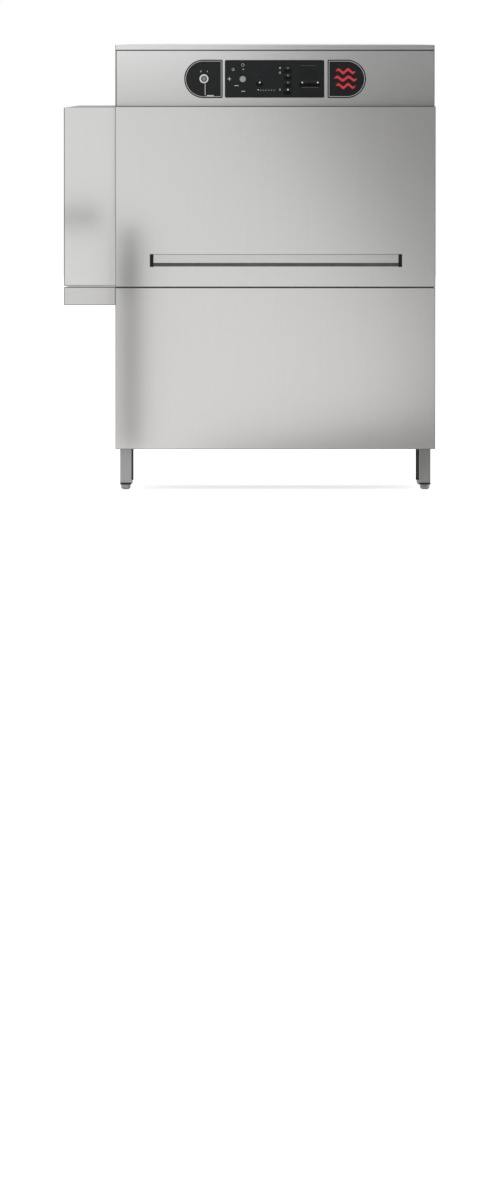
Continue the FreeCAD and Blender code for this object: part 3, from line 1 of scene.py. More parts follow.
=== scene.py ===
import math

import bmesh
import bpy
from mathutils import Matrix, Vector


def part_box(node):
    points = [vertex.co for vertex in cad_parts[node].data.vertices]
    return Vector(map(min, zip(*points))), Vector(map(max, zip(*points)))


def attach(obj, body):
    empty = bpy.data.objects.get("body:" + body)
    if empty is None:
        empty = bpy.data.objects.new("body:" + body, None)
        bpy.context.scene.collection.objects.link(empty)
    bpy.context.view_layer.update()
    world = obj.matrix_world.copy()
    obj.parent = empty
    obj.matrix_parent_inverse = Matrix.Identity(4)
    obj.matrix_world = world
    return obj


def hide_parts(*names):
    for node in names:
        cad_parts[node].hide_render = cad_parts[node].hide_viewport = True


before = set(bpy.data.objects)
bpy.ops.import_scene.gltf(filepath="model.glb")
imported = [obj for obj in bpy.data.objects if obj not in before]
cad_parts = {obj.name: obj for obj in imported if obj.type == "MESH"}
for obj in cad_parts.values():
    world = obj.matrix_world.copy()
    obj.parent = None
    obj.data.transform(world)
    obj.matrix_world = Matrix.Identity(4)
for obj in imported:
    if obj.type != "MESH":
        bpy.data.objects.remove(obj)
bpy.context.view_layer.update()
scene = bpy.context.scene
scene.view_settings.view_transform = "Standard"


# Camera. The photographer stands far back with a long lens, about as high as the middle of the
# machine, and looks at a point under it, so that the machine fills the upper part of the picture.
photo_view = bpy.data.cameras.new("photo_view")
photo_view.lens = 255.5
photo_view.clip_end = 300
camera = bpy.data.objects.new("photo_view", photo_view)
scene.collection.objects.link(camera)
scene.camera = camera
camera.location = (-0.0285, -30.985, 0.85)
looked_at = Vector((-0.0292, -0.385, -0.3964))
camera.rotation_euler = (looked_at - camera.location).to_track_quat("-Z", "Y").to_euler()


# Studio. A plain white floor with white air behind it, two soft lamps, and grey cards beside the
# camera. The steel darkens towards the cards, as it does in the photo. A wire is one socket whose
# value changes over a surface, and a paint is one finish made of such wires.
class Wire:
    def __init__(self, paint, socket):
        self.paint = paint
        self.socket = socket

    def math(self, operation, first, second=0):
        return self.paint.node("ShaderNodeMath", {"operation": operation}, {0: first, 1: second})

    def __add__(self, other):
        return self.math("ADD", self, other)

    def __sub__(self, other):
        return self.math("SUBTRACT", self, other)

    def __rsub__(self, other):
        return self.math("SUBTRACT", other, self)

    def __mul__(self, other):
        return self.math("MULTIPLY", self, other)

    def __gt__(self, other):
        return self.math("GREATER_THAN", self, other)

    def __lt__(self, other):
        return self.math("LESS_THAN", self, other)

    __radd__ = __add__

    def root(self):
        return self.math("SQRT", self)

    def wave(self):
        return self.math("SINE", self)

    def either(self, other):
        return self.math("MAXIMUM", self, other)


class Paint:
    def __init__(self, name, color, roughness, **fixed):
        self.material = bpy.data.materials.new(name)
        self.material.use_nodes = True
        self.tree = self.material.node_tree
        self.shader = self.tree.nodes["Principled BSDF"]
        self.color = color
        self.roughness = roughness
        self.shader.inputs["Base Color"].default_value = (*color, 1)
        self.shader.inputs["Roughness"].default_value = roughness
        for word, value in fixed.items():
            self.shader.inputs[word.replace("_", " ")].default_value = value
        self.place = self.node("ShaderNodeTexCoord", out="Object")

    def node(self, kind, settings=None, inputs=None, out=0):
        made = self.tree.nodes.new(kind)
        for name, value in (settings or {}).items():
            setattr(made, name, value)
        for name, value in (inputs or {}).items():
            if isinstance(value, Wire):
                self.tree.links.new(value.socket, made.inputs[name])
            else:
                made.inputs[name].default_value = value
        return Wire(self, made.outputs[out])

    def cloud(self, size, detail=3, rough=0.5):
        """Soft noise whose patches measure about 1 / size metres along each axis."""
        spread = self.node("ShaderNodeMapping", None, {"Vector": self.place, "Scale": size})
        return self.node("ShaderNodeTexNoise", None, {"Vector": spread, "Scale": 1,
                                                      "Detail": detail, "Roughness": rough})

    def along(self, axis):
        """The place on the object along x, y or z, in metres."""
        return self.node("ShaderNodeSeparateXYZ", None, {0: self.place}, out=axis.upper())

    def blend(self, amount, first, second):
        """One colour where amount is 0 and the other where it is 1."""
        ends = [(*tone, 1) if isinstance(tone, tuple) else tone for tone in (first, second)]
        return self.node("ShaderNodeMix", {"data_type": "RGBA"},
                         {0: amount, 6: ends[0], 7: ends[1]}, out=2)

    def feed(self, socket, wire):
        self.tree.links.new(wire.socket, self.shader.inputs[socket])

    def shades(self, amount, strength):
        """The colour made darker and lighter by a share of itself, where amount leaves a half."""
        dark = tuple(part * (1 - strength) for part in self.color)
        light = tuple(min(part * (1 + strength), 1) for part in self.color)
        return self.blend(amount, dark, light)

    def tint(self, amount, strength):
        self.feed("Base Color", self.shades(amount, strength))

    def gloss(self, amount, swing):
        """Moves the roughness up and down by half of swing."""
        self.feed("Roughness", self.roughness - swing / 2 + amount * swing)

    def emboss(self, height, depth):
        """Raises the surface by height times depth, in metres."""
        self.feed("Normal", self.node("ShaderNodeBump", None, {"Height": height, "Strength": 1,
                                                               "Distance": depth}))

    def dress(self, *names):
        """Puts the finish on nodes of the frame."""
        for name in names:
            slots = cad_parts[name].data.materials
            slots.clear()
            slots.append(self.material)


air = bpy.data.worlds.new("studio_air")
scene.world = air
air.use_nodes = True
sky = air.node_tree.nodes["Background"]
sky.inputs["Color"].default_value = (1, 1, 1, 1)
ray = air.node_tree.nodes.new("ShaderNodeLightPath")
mirrored = air.node_tree.nodes.new("ShaderNodeMath")
mirrored.operation = "MAXIMUM"
seen = air.node_tree.nodes.new("ShaderNodeMath")
seen.operation = "MAXIMUM"
level = air.node_tree.nodes.new("ShaderNodeMapRange")
level.inputs["To Min"].default_value = 0.72
level.inputs["To Max"].default_value = 1
join = air.node_tree.links.new
join(ray.outputs["Is Glossy Ray"], mirrored.inputs[0])
join(ray.outputs["Is Transmission Ray"], mirrored.inputs[1])
join(ray.outputs["Is Camera Ray"], seen.inputs[0])
join(mirrored.outputs[0], seen.inputs[1])
join(seen.outputs[0], level.inputs["Value"])
join(level.outputs[0], sky.inputs["Strength"])


def staged_sheet(name, paint, size, turn, place):
    """A flat sheet of the studio, which isn't part of the machine."""
    shape = bmesh.new()
    bmesh.ops.create_grid(shape, x_segments=1, y_segments=1, size=0.5,
                          matrix=Matrix.Translation(place) @ turn @ Matrix.Diagonal((*size, 1, 1)))
    mesh = bpy.data.meshes.new(name)
    shape.to_mesh(mesh)
    shape.free()
    mesh.materials.append(paint.material)
    made = bpy.data.objects.new(name, mesh)
    scene.collection.objects.link(made)
    return made


floor_paint = Paint("studio_floor", (0.9, 0.9, 0.9), 0.9, Emission_Strength=0.68)
floor_seen = floor_paint.node("ShaderNodeLightPath", out="Is Camera Ray")
floor_mirrored = floor_paint.node("ShaderNodeLightPath", out="Is Glossy Ray")
floor_paint.feed("Emission Color", floor_seen + floor_mirrored * 0.5)
staged_sheet("studio_floor", floor_paint, (800, 800), Matrix.Identity(4), (0, 0, 0))


def softbox(name, place, target, width, height, power):
    """A square studio lamp that neither the camera nor the steel sees."""
    lamp = bpy.data.lights.new(name, "AREA")
    lamp.shape = "RECTANGLE"
    lamp.size = width
    lamp.size_y = height
    lamp.energy = power
    holder = bpy.data.objects.new(name, lamp)
    scene.collection.objects.link(holder)
    holder.location = place
    turn = (Vector(target) - holder.location).to_track_quat("-Z", "Y")
    holder.rotation_euler = turn.to_euler()
    holder.visible_camera = False
    holder.visible_glossy = False


softbox("left_softbox", (-2.0, -2.4, 1.9), (-0.3, -0.38, 1.0), 1.6, 2.2, 14)
softbox("top_softbox", (0.3, -1.4, 4.2), (0.1, 0, 1.0), 3.0, 3.0, 22)


upright = Matrix.Rotation(math.radians(90), 4, "X")


def card(name, grey, size, slant, place):
    """A grey card that stands upright in front of the machine, turned by slant degrees."""
    paint = Paint(name, (grey, grey, grey), 0.9)
    turn = Matrix.Rotation(math.radians(slant), 4, "Y") @ upright
    made = staged_sheet(name, paint, size, turn, place)
    made.visible_camera = False
    made.visible_shadow = False
    made.visible_diffuse = False


card("upper_card", 0.38, (4.4, 2.6), 58.8, (1.44, -1.90, 1.84))
card("right_card", 0.52, (1.0, 1.4), 0, (1.18, -1.60, 0.55))
card("left_card", 0.30, (0.060, 0.80), 0, (-0.432, -0.62, 0.54))
card("corner_card", 0.30, (0.07, 0.13), 0, (-0.435, -0.58, 0.77))
card("hood_card", 0.30, (0.16, 0.05), 0, (-0.62, -0.60, 0.98))
card("low_card", 0.40, (1.2, 0.4), -9, (0.42, -0.85, -0.015))


# Base frame. Four upright legs and a ring of rails, all of 40 mm square stainless tube, are welded
# and brushed along their length. Low down, the faces from behind the front legs to the rear legs'
# front faces are painted dark, as painted shade of the space under the machine.
low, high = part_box("base_frame")
leg_side = 0.040
shade_height = 0.140
margin = 0.001
frame_tube = Paint("brushed_tube", (0.36, 0.358, 0.353), 0.40, Metallic=1)
tube_grain = frame_tube.cloud((260, 260, 9), detail=2)
tube_patches = frame_tube.cloud((14, 14, 9), detail=2)
past_front_legs = frame_tube.along("y") > low.y + leg_side + margin
up_to_rear_legs = frame_tube.along("y") < high.y - leg_side + margin
# Below 140 mm, faces between the front legs and the rear legs' fronts are painted dark as painted
# shade.
shaded_under_machine = past_front_legs * up_to_rear_legs * (frame_tube.along("z") < shade_height)
brushed = frame_tube.shades(tube_grain * 0.5 + tube_patches * 0.5, 0.16)
painted_under_shade = (0.075, 0.075, 0.074)
frame_tube.feed("Base Color", frame_tube.blend(shaded_under_machine, brushed, painted_under_shade))
frame_tube.gloss(tube_patches, 0.16)
frame_tube.emboss(tube_grain, 0.00002)
frame_tube.dress("base_frame")


# Levelling feet. Each leg ends in a black plastic insert with a nut in it, and a turned hexagonal
# steel foot screws into that insert. The tool leaves fine rings round the steel.
def moulded(name, color, roughness, **fixed):
    """Moulded plastic with a fine leather-like skin and slow changes of shine."""
    paint = Paint(name, color, roughness, **fixed)
    skin = paint.cloud((1400, 1400, 1400), detail=1)
    worn = paint.cloud((30, 30, 30), detail=3)
    paint.tint(worn * 0.7 + skin * 0.3, 0.2)
    paint.gloss(worn, 0.14)
    paint.emboss(skin, 0.00002)
    return paint


moulded("insert_plastic", (0.025, 0.025, 0.027), 0.6, Specular_IOR_Level=0.3).dress("leg_inserts")

foot_paint = Paint("turned_steel", (0.30, 0.30, 0.30), 0.34, Metallic=1)
ring_pitch = 0.000698
foot_rings = (foot_paint.along("z") * (2 * math.pi / ring_pitch)).wave() * 0.5 + 0.5
foot_wear = foot_paint.cloud((90, 90, 60), detail=3)
foot_paint.tint(foot_wear, 0.3)
foot_paint.gloss(foot_wear, 0.2)
foot_paint.emboss(foot_rings, 0.00001)
foot_paint.dress("foot_front_left", "foot_front_right", "foot_rear_left", "foot_rear_right")


# Sheet casing. The outside is stainless sheet about 1.5 mm thick, folded at the edges and ground
# to a satin face. Fine scratches run one way, the shine changes slowly over each sheet, and the
# front edges are painted dark as painted shade of the seams between the sheets.
sheet_front = 0.004
painted_seam_shade = (0.09, 0.09, 0.088)
no_shaded_edges = (0, 0, 0, 0)


def satin_sheet(node, color, along, roughness=0.36, shaded_edges=(0.0022,) * 4, foot=None, rim=None,
                crown=None):
    """Gives a node a satin finish with its scratches along one axis.

    The shaded edges are the widths of the front edges painted dark as painted seam shade, on the
    left, on the right, below and above. The foot is the colour painted at the bottom as painted
    shade, the rim the lighter colour painted on the front face as painted light, and the crown the
    height and the colour painted on what slopes at the top as painted shade.
    """
    low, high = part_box(node)
    left, right, below, above = shaded_edges
    paint = Paint(f"{node}_steel", color, roughness, Metallic=1)
    fine = {"x": (5, 700, 700), "y": (700, 5, 700), "z": (700, 700, 5)}[along]
    wide = {"x": (1.2, 40, 40), "y": (40, 1.2, 40), "z": (40, 40, 1.2)}[along]
    scratches = paint.cloud(fine, detail=2)
    bands = paint.cloud(wide, detail=2)
    waves = paint.cloud((1.6, 1.6, 1.6), detail=1)
    across = paint.along("x")
    rise = paint.along("z")
    face = paint.shades(scratches * 0.5 + bands * 0.2 + waves * 0.3, 0.06)
    # The foot colour is blended in towards the bottom as painted shade.
    if foot:
        face = paint.blend((rise - low.z) * (1 / (high.z - low.z)), foot, face)
    edge = ((across - low.x) < left).either((high.x - across) < right)
    edge = edge.either((rise - low.z) < below).either((high.z - rise) < above)
    front = (paint.along("y") - low.y) < sheet_front
    # The rim colour is painted on the front face, lighter than the rest, as painted light.
    if rim:
        face = paint.blend(front, face, rim)
    # What slopes at the top is painted in the crown colour, as painted shade.
    if crown:
        face = paint.blend((high.z - rise) < crown[0], face, crown[1])
    # Front edges within the shaded-edge widths are painted dark as painted seam shade.
    paint.feed("Base Color", paint.blend(edge * front * 0.8, face, painted_seam_shade))
    paint.gloss(bands * 0.4 + waves * 0.6, 0.08)
    paint.emboss(scratches, 0.000012)
    paint.dress(node)


satin_sheet("left_end_wall", (0.60, 0.597, 0.588), "z", shaded_edges=no_shaded_edges)
satin_sheet("right_end_wall", (0.60, 0.597, 0.588), "z", shaded_edges=no_shaded_edges)
satin_sheet("rear_panel", (0.57, 0.567, 0.558), "x", shaded_edges=no_shaded_edges)
# The hood's sloping top is painted dark grey as painted shade.
satin_sheet("entry_hood", (0.67, 0.67, 0.665), "z", shaded_edges=(0.003, 0, 0.0034, 0),
            crown=(0.009, (0.27, 0.27, 0.267)))
satin_sheet("hood_drip_tray", (0.60, 0.597, 0.59), "x", shaded_edges=(0.0026,) * 4)
# The lid's front face is painted lighter than its top, as painted light.
satin_sheet("top_lid", (0.62, 0.618, 0.612), "x", shaded_edges=(0.0022, 0.0022, 0.0012, 0.0022),
            rim=(0.78, 0.78, 0.775))
# The fascia is painted lighter than the other sheets at its top and darker towards its bottom, as
# painted light and shade.
satin_sheet("fascia_panel", (0.77, 0.77, 0.765), "x", shaded_edges=(0.005, 0.0022, 0, 0.0012),
            foot=(0.585, 0.583, 0.575))


# Rear panel screws. The back sheet is held all round by hexagon flange screws, so that the pump
# and the booster can be reached from behind.
def bar(shape, start, end, radius, far_radius=None, sides=24):
    """Adds a round bar or a cone from one point to another."""
    run = Vector(end) - Vector(start)
    turn = run.to_track_quat("Z", "Y").to_matrix().to_4x4()
    middle = Matrix.Translation((Vector(start) + Vector(end)) / 2)
    far = radius if far_radius is None else far_radius
    made = bmesh.ops.create_cone(shape, cap_ends=True, segments=sides, radius1=radius,
                                 radius2=far, depth=run.length, matrix=middle @ turn)
    return made["verts"]


def flange_screw(shape, seat, way, size):
    """Adds a screw head with a flange: seat is its middle on the sheet, way points outwards."""
    seat = Vector(seat)
    way = Vector(way)
    flange_top = seat + way * size * 0.16
    hexagon_top = seat + way * size * 0.62
    crown_top = seat + way * size * 0.72
    bar(shape, seat, flange_top, size, size * 0.9, 20)
    bar(shape, flange_top, hexagon_top, size * 0.72, sides=6)
    bar(shape, hexagon_top, crown_top, size * 0.6, size * 0.4, 12)


def piece(shape, name, paint, body, soft=30):
    """Makes a finished mesh into a piece that moves with a body of the frame."""
    bmesh.ops.recalc_face_normals(shape, faces=shape.faces)
    mesh = bpy.data.meshes.new(name)
    shape.to_mesh(mesh)
    shape.free()
    mesh.shade_smooth()
    mesh.set_sharp_from_angle(angle=math.radians(soft))
    mesh.materials.append(paint.material)
    made = bpy.data.objects.new(name, mesh)
    scene.collection.objects.link(made)
    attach(made, body)
    return made


screw_steel = Paint("screw_steel", (0.52, 0.52, 0.51), 0.28, Metallic=1)
screw_patches = screw_steel.cloud((180, 180, 180), detail=3)
screw_steel.tint(screw_patches, 0.2)
screw_steel.gloss(screw_patches, 0.2)
low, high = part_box("rear_panel")
edge_gap = 0.012
screw_size = 0.0065
screws_across = 9
screws_up = 10
left_x, right_x = low.x + edge_gap, high.x - edge_gap
foot_z, head_z = low.z + edge_gap, high.z - edge_gap
shape = bmesh.new()
for step in range(screws_across):
    across = left_x + (right_x - left_x) * step / (screws_across - 1)
    for rise in (foot_z, head_z):
        flange_screw(shape, (across, high.y, rise), (0, 1, 0), screw_size)
for step in range(1, screws_up - 1):
    rise = foot_z + (head_z - foot_z) * step / (screws_up - 1)
    for across in (left_x, right_x):
        flange_screw(shape, (across, high.y, rise), (0, 1, 0), screw_size)
piece(shape, "rear_panel_screws", screw_steel, "cabinet")


# Wash chamber and tank. Inside, the sheet keeps the dull skin it has from the rolling mill, and
# dried wash water leaves a faint lime film on it and patches of lime on the heater tube.
def rolled_sheet(name, color, roughness=0.34, film=0.5):
    """Mill-dull sheet. The lower the film, the more of it is under lime."""
    paint = Paint(name, color, roughness, Metallic=1)
    mill = paint.cloud((420, 420, 420), detail=1)
    runs = paint.cloud((26, 26, 5), detail=4, rough=0.6)
    stains = paint.node("ShaderNodeMapRange", None,
                        {"Value": paint.cloud((7, 7, 4), detail=4), "From Min": film - 0.08,
                         "From Max": film + 0.2})
    pale = tuple(part * 0.86 + 0.08 for part in color)
    paint.feed("Base Color", paint.blend(stains * 0.6, paint.shades(runs, 0.12), pale))
    paint.feed("Roughness", roughness - 0.06 + runs * 0.1 + stains * 0.16)
    paint.emboss(mill * 0.7 + stains * 0.3, 0.00002)
    return paint


rolled_sheet("chamber_sheet", (0.52, 0.52, 0.515)).dress(
    "chamber_liner", "front_frame", "wash_tank")
rolled_sheet("spray_tube", (0.50, 0.50, 0.495), 0.3, film=0.52).dress(
    "upper_wash_manifold", "lower_wash_manifold", "rinse_pipework")
rolled_sheet("tray_sheet", (0.54, 0.54, 0.53), 0.3, film=0.46).dress(
    "filter_tray", "overflow_standpipe")

heater_paint = Paint("heater_tube", (0.33, 0.31, 0.29), 0.36, Metallic=1)
heater_scale = heater_paint.cloud((70, 70, 70), detail=4)
bare_tube = (0.22, 0.20, 0.19)
lime = (0.56, 0.54, 0.50)
heater_paint.feed("Base Color", heater_paint.blend(heater_scale, bare_tube, lime))
heater_paint.gloss(heater_scale, 0.3)
heater_paint.emboss(heater_scale, 0.0002)
heater_paint.dress("tank_heater")

moulded("drain_plastic", (0.27, 0.28, 0.29), 0.5).dress("drain_outlet")


# Lift-up door. A folded outer skin and a flat inner skin make a double wall that keeps the heat
# in, and the door slides on nylon blocks in two channel rails.
satin_sheet("door_outer_panel", (0.65, 0.648, 0.638), "z")
satin_sheet("door_inner_panel", (0.50, 0.498, 0.49), "x", 0.3, shaded_edges=no_shaded_edges)
rolled_sheet("rail_sheet", (0.46, 0.46, 0.455), 0.4, film=0.6).dress("door_rails")
moulded("nylon", (0.72, 0.72, 0.68), 0.42).dress("door_slide_blocks", "exit_switch_lever")


# Door handle. One drawn aluminium profile, satin anodised outside and duller inside where the
# fingers go, is closed by a black plastic cap at each end. The inside is also painted darker as
# painted shade of the recess behind the grip, and the outside is darker along its top lip.
low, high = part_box("door_handle")
outer_wall = 0.0014
lip_height = 0.0028
handle_paint = Paint("anodised_profile", (0.60, 0.60, 0.59), 0.34, Metallic=1)
draw_lines = handle_paint.cloud((6, 900, 900), detail=1)
handle_wear = handle_paint.cloud((18, 60, 60), detail=2)
# Everything behind the front face is painted darker as painted shade of the recess.
shaded_inner_side = handle_paint.along("y") > low.y + outer_wall
top_lip = handle_paint.along("z") > high.z - lip_height
drawn = handle_paint.shades(draw_lines * 0.6 + handle_wear * 0.4, 0.08)
outer_face = handle_paint.blend(top_lip, drawn, (0.30, 0.30, 0.295))
handle_paint.feed("Base Color", handle_paint.blend(shaded_inner_side, outer_face, (0.36, 0.36, 0.355)))
handle_paint.feed("Roughness", 0.28 + handle_wear * 0.12 + shaded_inner_side * 0.3)
handle_paint.emboss(draw_lines, 0.00001)
handle_paint.dress("door_handle")
moulded("cap_plastic", (0.045, 0.045, 0.046), 0.55, Specular_IOR_Level=0.3).dress(
    "handle_end_caps")


# Door struts. Gas struts beside the opening balance the door: painted cylinders hung on the
# cabinet, and ground chromed rods that follow the door.
strut_paint = Paint("strut_paint", (0.02, 0.02, 0.022), 0.42)
strut_skin = strut_paint.cloud((160, 160, 60), detail=3)
strut_paint.tint(strut_skin, 0.3)
strut_paint.gloss(strut_skin, 0.2)
strut_paint.emboss(strut_skin, 0.00003)
strut_paint.dress("strut_cylinders")

rod_chrome = Paint("ground_rod", (0.62, 0.62, 0.63), 0.16, Metallic=1)
rod_lines = rod_chrome.cloud((300, 300, 1800), detail=1)
rod_oil = rod_chrome.cloud((40, 40, 22), detail=3)
rod_chrome.tint(rod_oil, 0.12)
rod_chrome.gloss(rod_oil * 0.7 + rod_lines * 0.3, 0.12)
rod_chrome.emboss(rod_lines, 0.000004)
rod_chrome.dress("strut_rods", "curtain_rods")


# Service panel. The folded panel under the door hangs on two hooks and is pulled off to reach the
# pump. Its grain stands upright like the door's.
satin_sheet("lower_front_panel", (0.655, 0.648, 0.637), "z")


# Control plates. Three plates of black film on a 1.5 mm backing are stuck on the fascia. The two
# outer ones have a round end and a thin grey line printed just inside the edge, and smooth dark
# panes cover the readouts and the lamps of the middle one.
plate_film = Paint("plate_film", (0.0105, 0.0114, 0.0120), 0.42, Specular_IOR_Level=0.22)
film_skin = plate_film.cloud((700, 700, 700), detail=1)
film_smears = plate_film.cloud((22, 22, 22), detail=3)
plate_film.tint(film_smears, 0.25)
plate_film.gloss(film_smears, 0.16)
plate_film.emboss(film_skin, 0.00001)
plate_film.dress("switch_plate", "control_plate", "wave_plate")

window_film = Paint("window_film", (0.0105, 0.0116, 0.0124), 0.26, Specular_IOR_Level=0.22)
window_dust = window_film.cloud((60, 60, 60), detail=4)
window_film.tint(window_dust, 0.2)
window_film.gloss(window_dust, 0.2)
window_film.dress("display_windows")


def ink(name, color):
    """Printed ink: matt, with the small unevenness of screen printing."""
    paint = Paint(name, color, 0.5, Specular_IOR_Level=0.3)
    grain = paint.cloud((900, 900, 900), detail=2)
    paint.tint(grain, 0.12)
    paint.gloss(grain, 0.1)
    return paint


plate_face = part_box("switch_plate")[0].y
print_depth = 0.00015


def faces_of(verts):
    """The faces round some points, each once and always in the same order."""
    return list(dict.fromkeys(face for vert in verts for face in vert.link_faces))


def thicken(shape, faces):
    """Gives flat printed faces the depth of the ink, towards the front."""
    raised = bmesh.ops.extrude_face_region(shape, geom=faces)["geom"]
    verts = [item for item in raised if isinstance(item, bmesh.types.BMVert)]
    bmesh.ops.translate(shape, verts=verts, vec=(0, -print_depth, 0))


def stripe(shape, across, rise, width, height):
    """A printed bar round a middle point."""
    place = Matrix.Translation((across, plate_face, rise))
    size = Matrix.Diagonal((width, height, 1, 1))
    made = bmesh.ops.create_grid(shape, x_segments=1, y_segments=1, size=0.5,
                                 matrix=place @ upright @ size)
    thicken(shape, faces_of(made["verts"]))


def spot(shape, across, rise, radius, hole=0, sides=28, face=plate_face):
    """A printed dot, or a ring where it has a hole."""
    place = Matrix.Translation((across, face, rise))
    made = bmesh.ops.create_circle(shape, cap_ends=True, segments=sides, radius=radius,
                                   matrix=place @ upright)
    disc = faces_of(made["verts"])
    if hole:
        ring = bmesh.ops.inset_region(shape, faces=disc, thickness=radius - hole,
                                      use_boundary=True, use_even_offset=True)["faces"]
        bmesh.ops.delete(shape, geom=disc, context="FACES")
        disc = ring
    thicken(shape, disc)


def round_end_line(shape, node, side, line, inset):
    """The printed line inside the edge of a plate whose left (-1) or right (1) end is round."""
    low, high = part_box(node)
    radius = (high.z - low.z) / 2 - inset
    level = (high.z + low.z) / 2
    turning_x = (high.x - radius - inset) if side > 0 else (low.x + radius + inset)
    flat_x = (low.x + inset) if side > 0 else (high.x - inset)
    top = shape.verts.new((turning_x, plate_face, level + radius))
    turned = bmesh.ops.spin(shape, geom=[top], cent=(turning_x, plate_face, level),
                            axis=(0, 1, 0), angle=math.pi * side, steps=40)
    foot = turned["geom_last"][0]
    flat = [shape.verts.new((flat_x, plate_face, level + way * radius)) for way in (-1, 1)]
    for start, end in ((foot, flat[0]), (flat[0], flat[1]), (flat[1], top)):
        shape.edges.new((start, end))
    rim = [edge for edge in shape.edges if not edge.link_faces]
    whole = bmesh.ops.contextual_create(shape, geom=rim)["faces"]
    ring = bmesh.ops.inset_region(shape, faces=whole, thickness=line, use_boundary=True,
                                  use_even_offset=True)
    bmesh.ops.delete(shape, geom=whole, context="FACES")
    thicken(shape, ring["faces"])


def beside(node, across, rise):
    """The place this far to the right of a node's middle and above it, in metres."""
    low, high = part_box(node)
    return (low.x + high.x) / 2 + across, (low.z + high.z) / 2 + rise


def ring_of_spots(shape, middle, reach, radius, count, first_angle=0):
    """Small dots that stand evenly round a point."""
    for turn in range(count):
        angle = math.radians(first_angle + 360 * turn / count)
        spot(shape, middle[0] + reach * math.cos(angle), middle[1] + reach * math.sin(angle),
             radius, sides=10)


grey_ink = ink("grey_ink", (0.62, 0.62, 0.62))
for node, side in (("switch_plate", -1), ("wave_plate", 1)):
    shape = bmesh.new()
    round_end_line(shape, node, side, line=0.0015, inset=0.0045)
    piece(shape, f"{node}_line", grey_ink, "cabinet")


# Switch marks. Grey ink is screen-printed round the main switch: a ring for off and a bar for on
# over it, and under it a pointer line with a plain label bar.
shape = bmesh.new()
spot(shape, *beside("main_switch_knob", -0.01105, 0.02648), 0.0026, 0.0016, 16)
stripe(shape, *beside("main_switch_knob", 0.01199, 0.02648), 0.0016, 0.0054)
stripe(shape, *beside("main_switch_knob", 0.00407, -0.03618), 0.0022, 0.0450)
stripe(shape, *beside("main_switch_knob", 0.02279, -0.06030), 0.0240, 0.0040)
piece(shape, "switch_marks", grey_ink, "cabinet")


# Selector marks. Plain signs in the same grey ink stand round the programme selector, and three
# small rings stand beside the column of buttons.
shape = bmesh.new()
spot(shape, *beside("programme_knob", 0.00032, 0.05089), 0.0054, 0.0043)
stripe(shape, *beside("programme_knob", 0.00141, 0.03504), 0.0034, 0.0034)
ring_of_spots(shape, beside("programme_knob", -0.03461, 0.03432), 0.0040, 0.0014, 5, 20)
star = beside("programme_knob", -0.04829, 0.00083)
ring_of_spots(shape, star, 0.0052, 0.0012, 4)
spot(shape, *star, 0.0030, sides=16)
stripe(shape, *beside("programme_knob", -0.02272, -0.02329), 0.0150, 0.0022)
stripe(shape, *beside("programme_knob", 0.00141, -0.04382), 0.0130, 0.0022)
spot(shape, *beside("column_button_1", -0.02769, 0.00558), 0.0032, 0.0020, 16)
spot(shape, *beside("column_button_1", -0.02769, -0.01134), 0.0034, 0.0022, 16)
spot(shape, *beside("column_button_4", -0.02769, 0.00630), 0.0030, 0.0018, 16)
piece(shape, "selector_marks", grey_ink, "cabinet")


# Window rules. Three thin lines are screen-printed in dim ink on the middle plate: one under the
# level buttons, one over the right readout, and one that passes behind the left readout.
dim_ink = ink("dim_ink", (0.11, 0.11, 0.11))
shape = bmesh.new()
stripe(shape, *beside("control_plate", 0.12723, -0.03078), 0.0620, 0.0016)
stripe(shape, *beside("control_plate", 0.12147, 0.04773), 0.0560, 0.0010)
stripe(shape, *beside("control_plate", -0.04417, 0.01316), 0.0500, 0.0010)
piece(shape, "window_rules", dim_ink, "cabinet")


# Wave marks. Three plain waves are screen-printed in red ink on the right-hand plate. The middle
# one is a little longer, and each gets narrow towards its ends.
red_ink = ink("red_ink", (0.66, 0.036, 0.050))
wave_x, wave_z = beside("wave_plate", -0.00407, 0.00091)
wave_pitch = 0.0265
wave_height = 0.0058
wave_width = 0.0105
shape = bmesh.new()
for row, length in ((-1, 0.070), (0, 0.082), (1, 0.070)):
    row_z = wave_z + row * wave_pitch
    place = Matrix.Translation((wave_x, plate_face, row_z))
    size = Matrix.Diagonal((length, wave_width, 1, 1))
    made = bmesh.ops.create_grid(shape, x_segments=36, y_segments=1, size=0.5,
                                 matrix=place @ upright @ size)
    for vert in made["verts"]:
        run = (vert.co.x - wave_x) / length
        vert.co.z += (row_z - vert.co.z) * (abs(run) * 2) ** 6 * 0.8
        vert.co.z += wave_height * math.sin(run * 4 * math.pi)
    thicken(shape, faces_of(made["verts"]))
piece(shape, "wave_marks", red_ink, "cabinet")


# Knobs. The main switch has a pale ring round a dark one and a grey middle with a grip bar; the
# pale ring is a painted highlight along its rim. The programme selector is a small grey disc with
# a slot for its mark.
def ringed_knob(name, node, middle, rings, roughness):
    """A moulded knob whose colour changes at each given distance from its shaft."""
    low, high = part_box(node)
    paint = Paint(name, middle, roughness, Specular_IOR_Level=0.35)
    across = paint.along("x") - (low.x + high.x) / 2
    rise = paint.along("z") - (low.z + high.z) / 2
    distance = (across * across + rise * rise).root()
    skin = paint.cloud((1200, 1200, 1200), detail=1)
    worn = paint.cloud((90, 90, 90), detail=3)
    face = paint.shades(worn, 0.2)
    for start, color in rings:
        face = paint.blend(distance > start, face, color)
    paint.feed("Base Color", face)
    paint.gloss(worn, 0.16)
    paint.emboss(skin, 0.00002)
    paint.dress(node)


# The pale ring between 10.8 and 16 mm is a painted highlight on the knob's rim.
ringed_knob("switch_plastic", "main_switch_knob", (0.25, 0.25, 0.25),
            ((0.0074, (0.05, 0.05, 0.05)), (0.0108, (0.74, 0.74, 0.74)),
             (0.0160, (0.06, 0.06, 0.06))), 0.45)
ringed_knob("selector_plastic", "programme_knob", (0.33, 0.33, 0.335),
            ((0.0110, (0.24, 0.24, 0.245)),), 0.45)
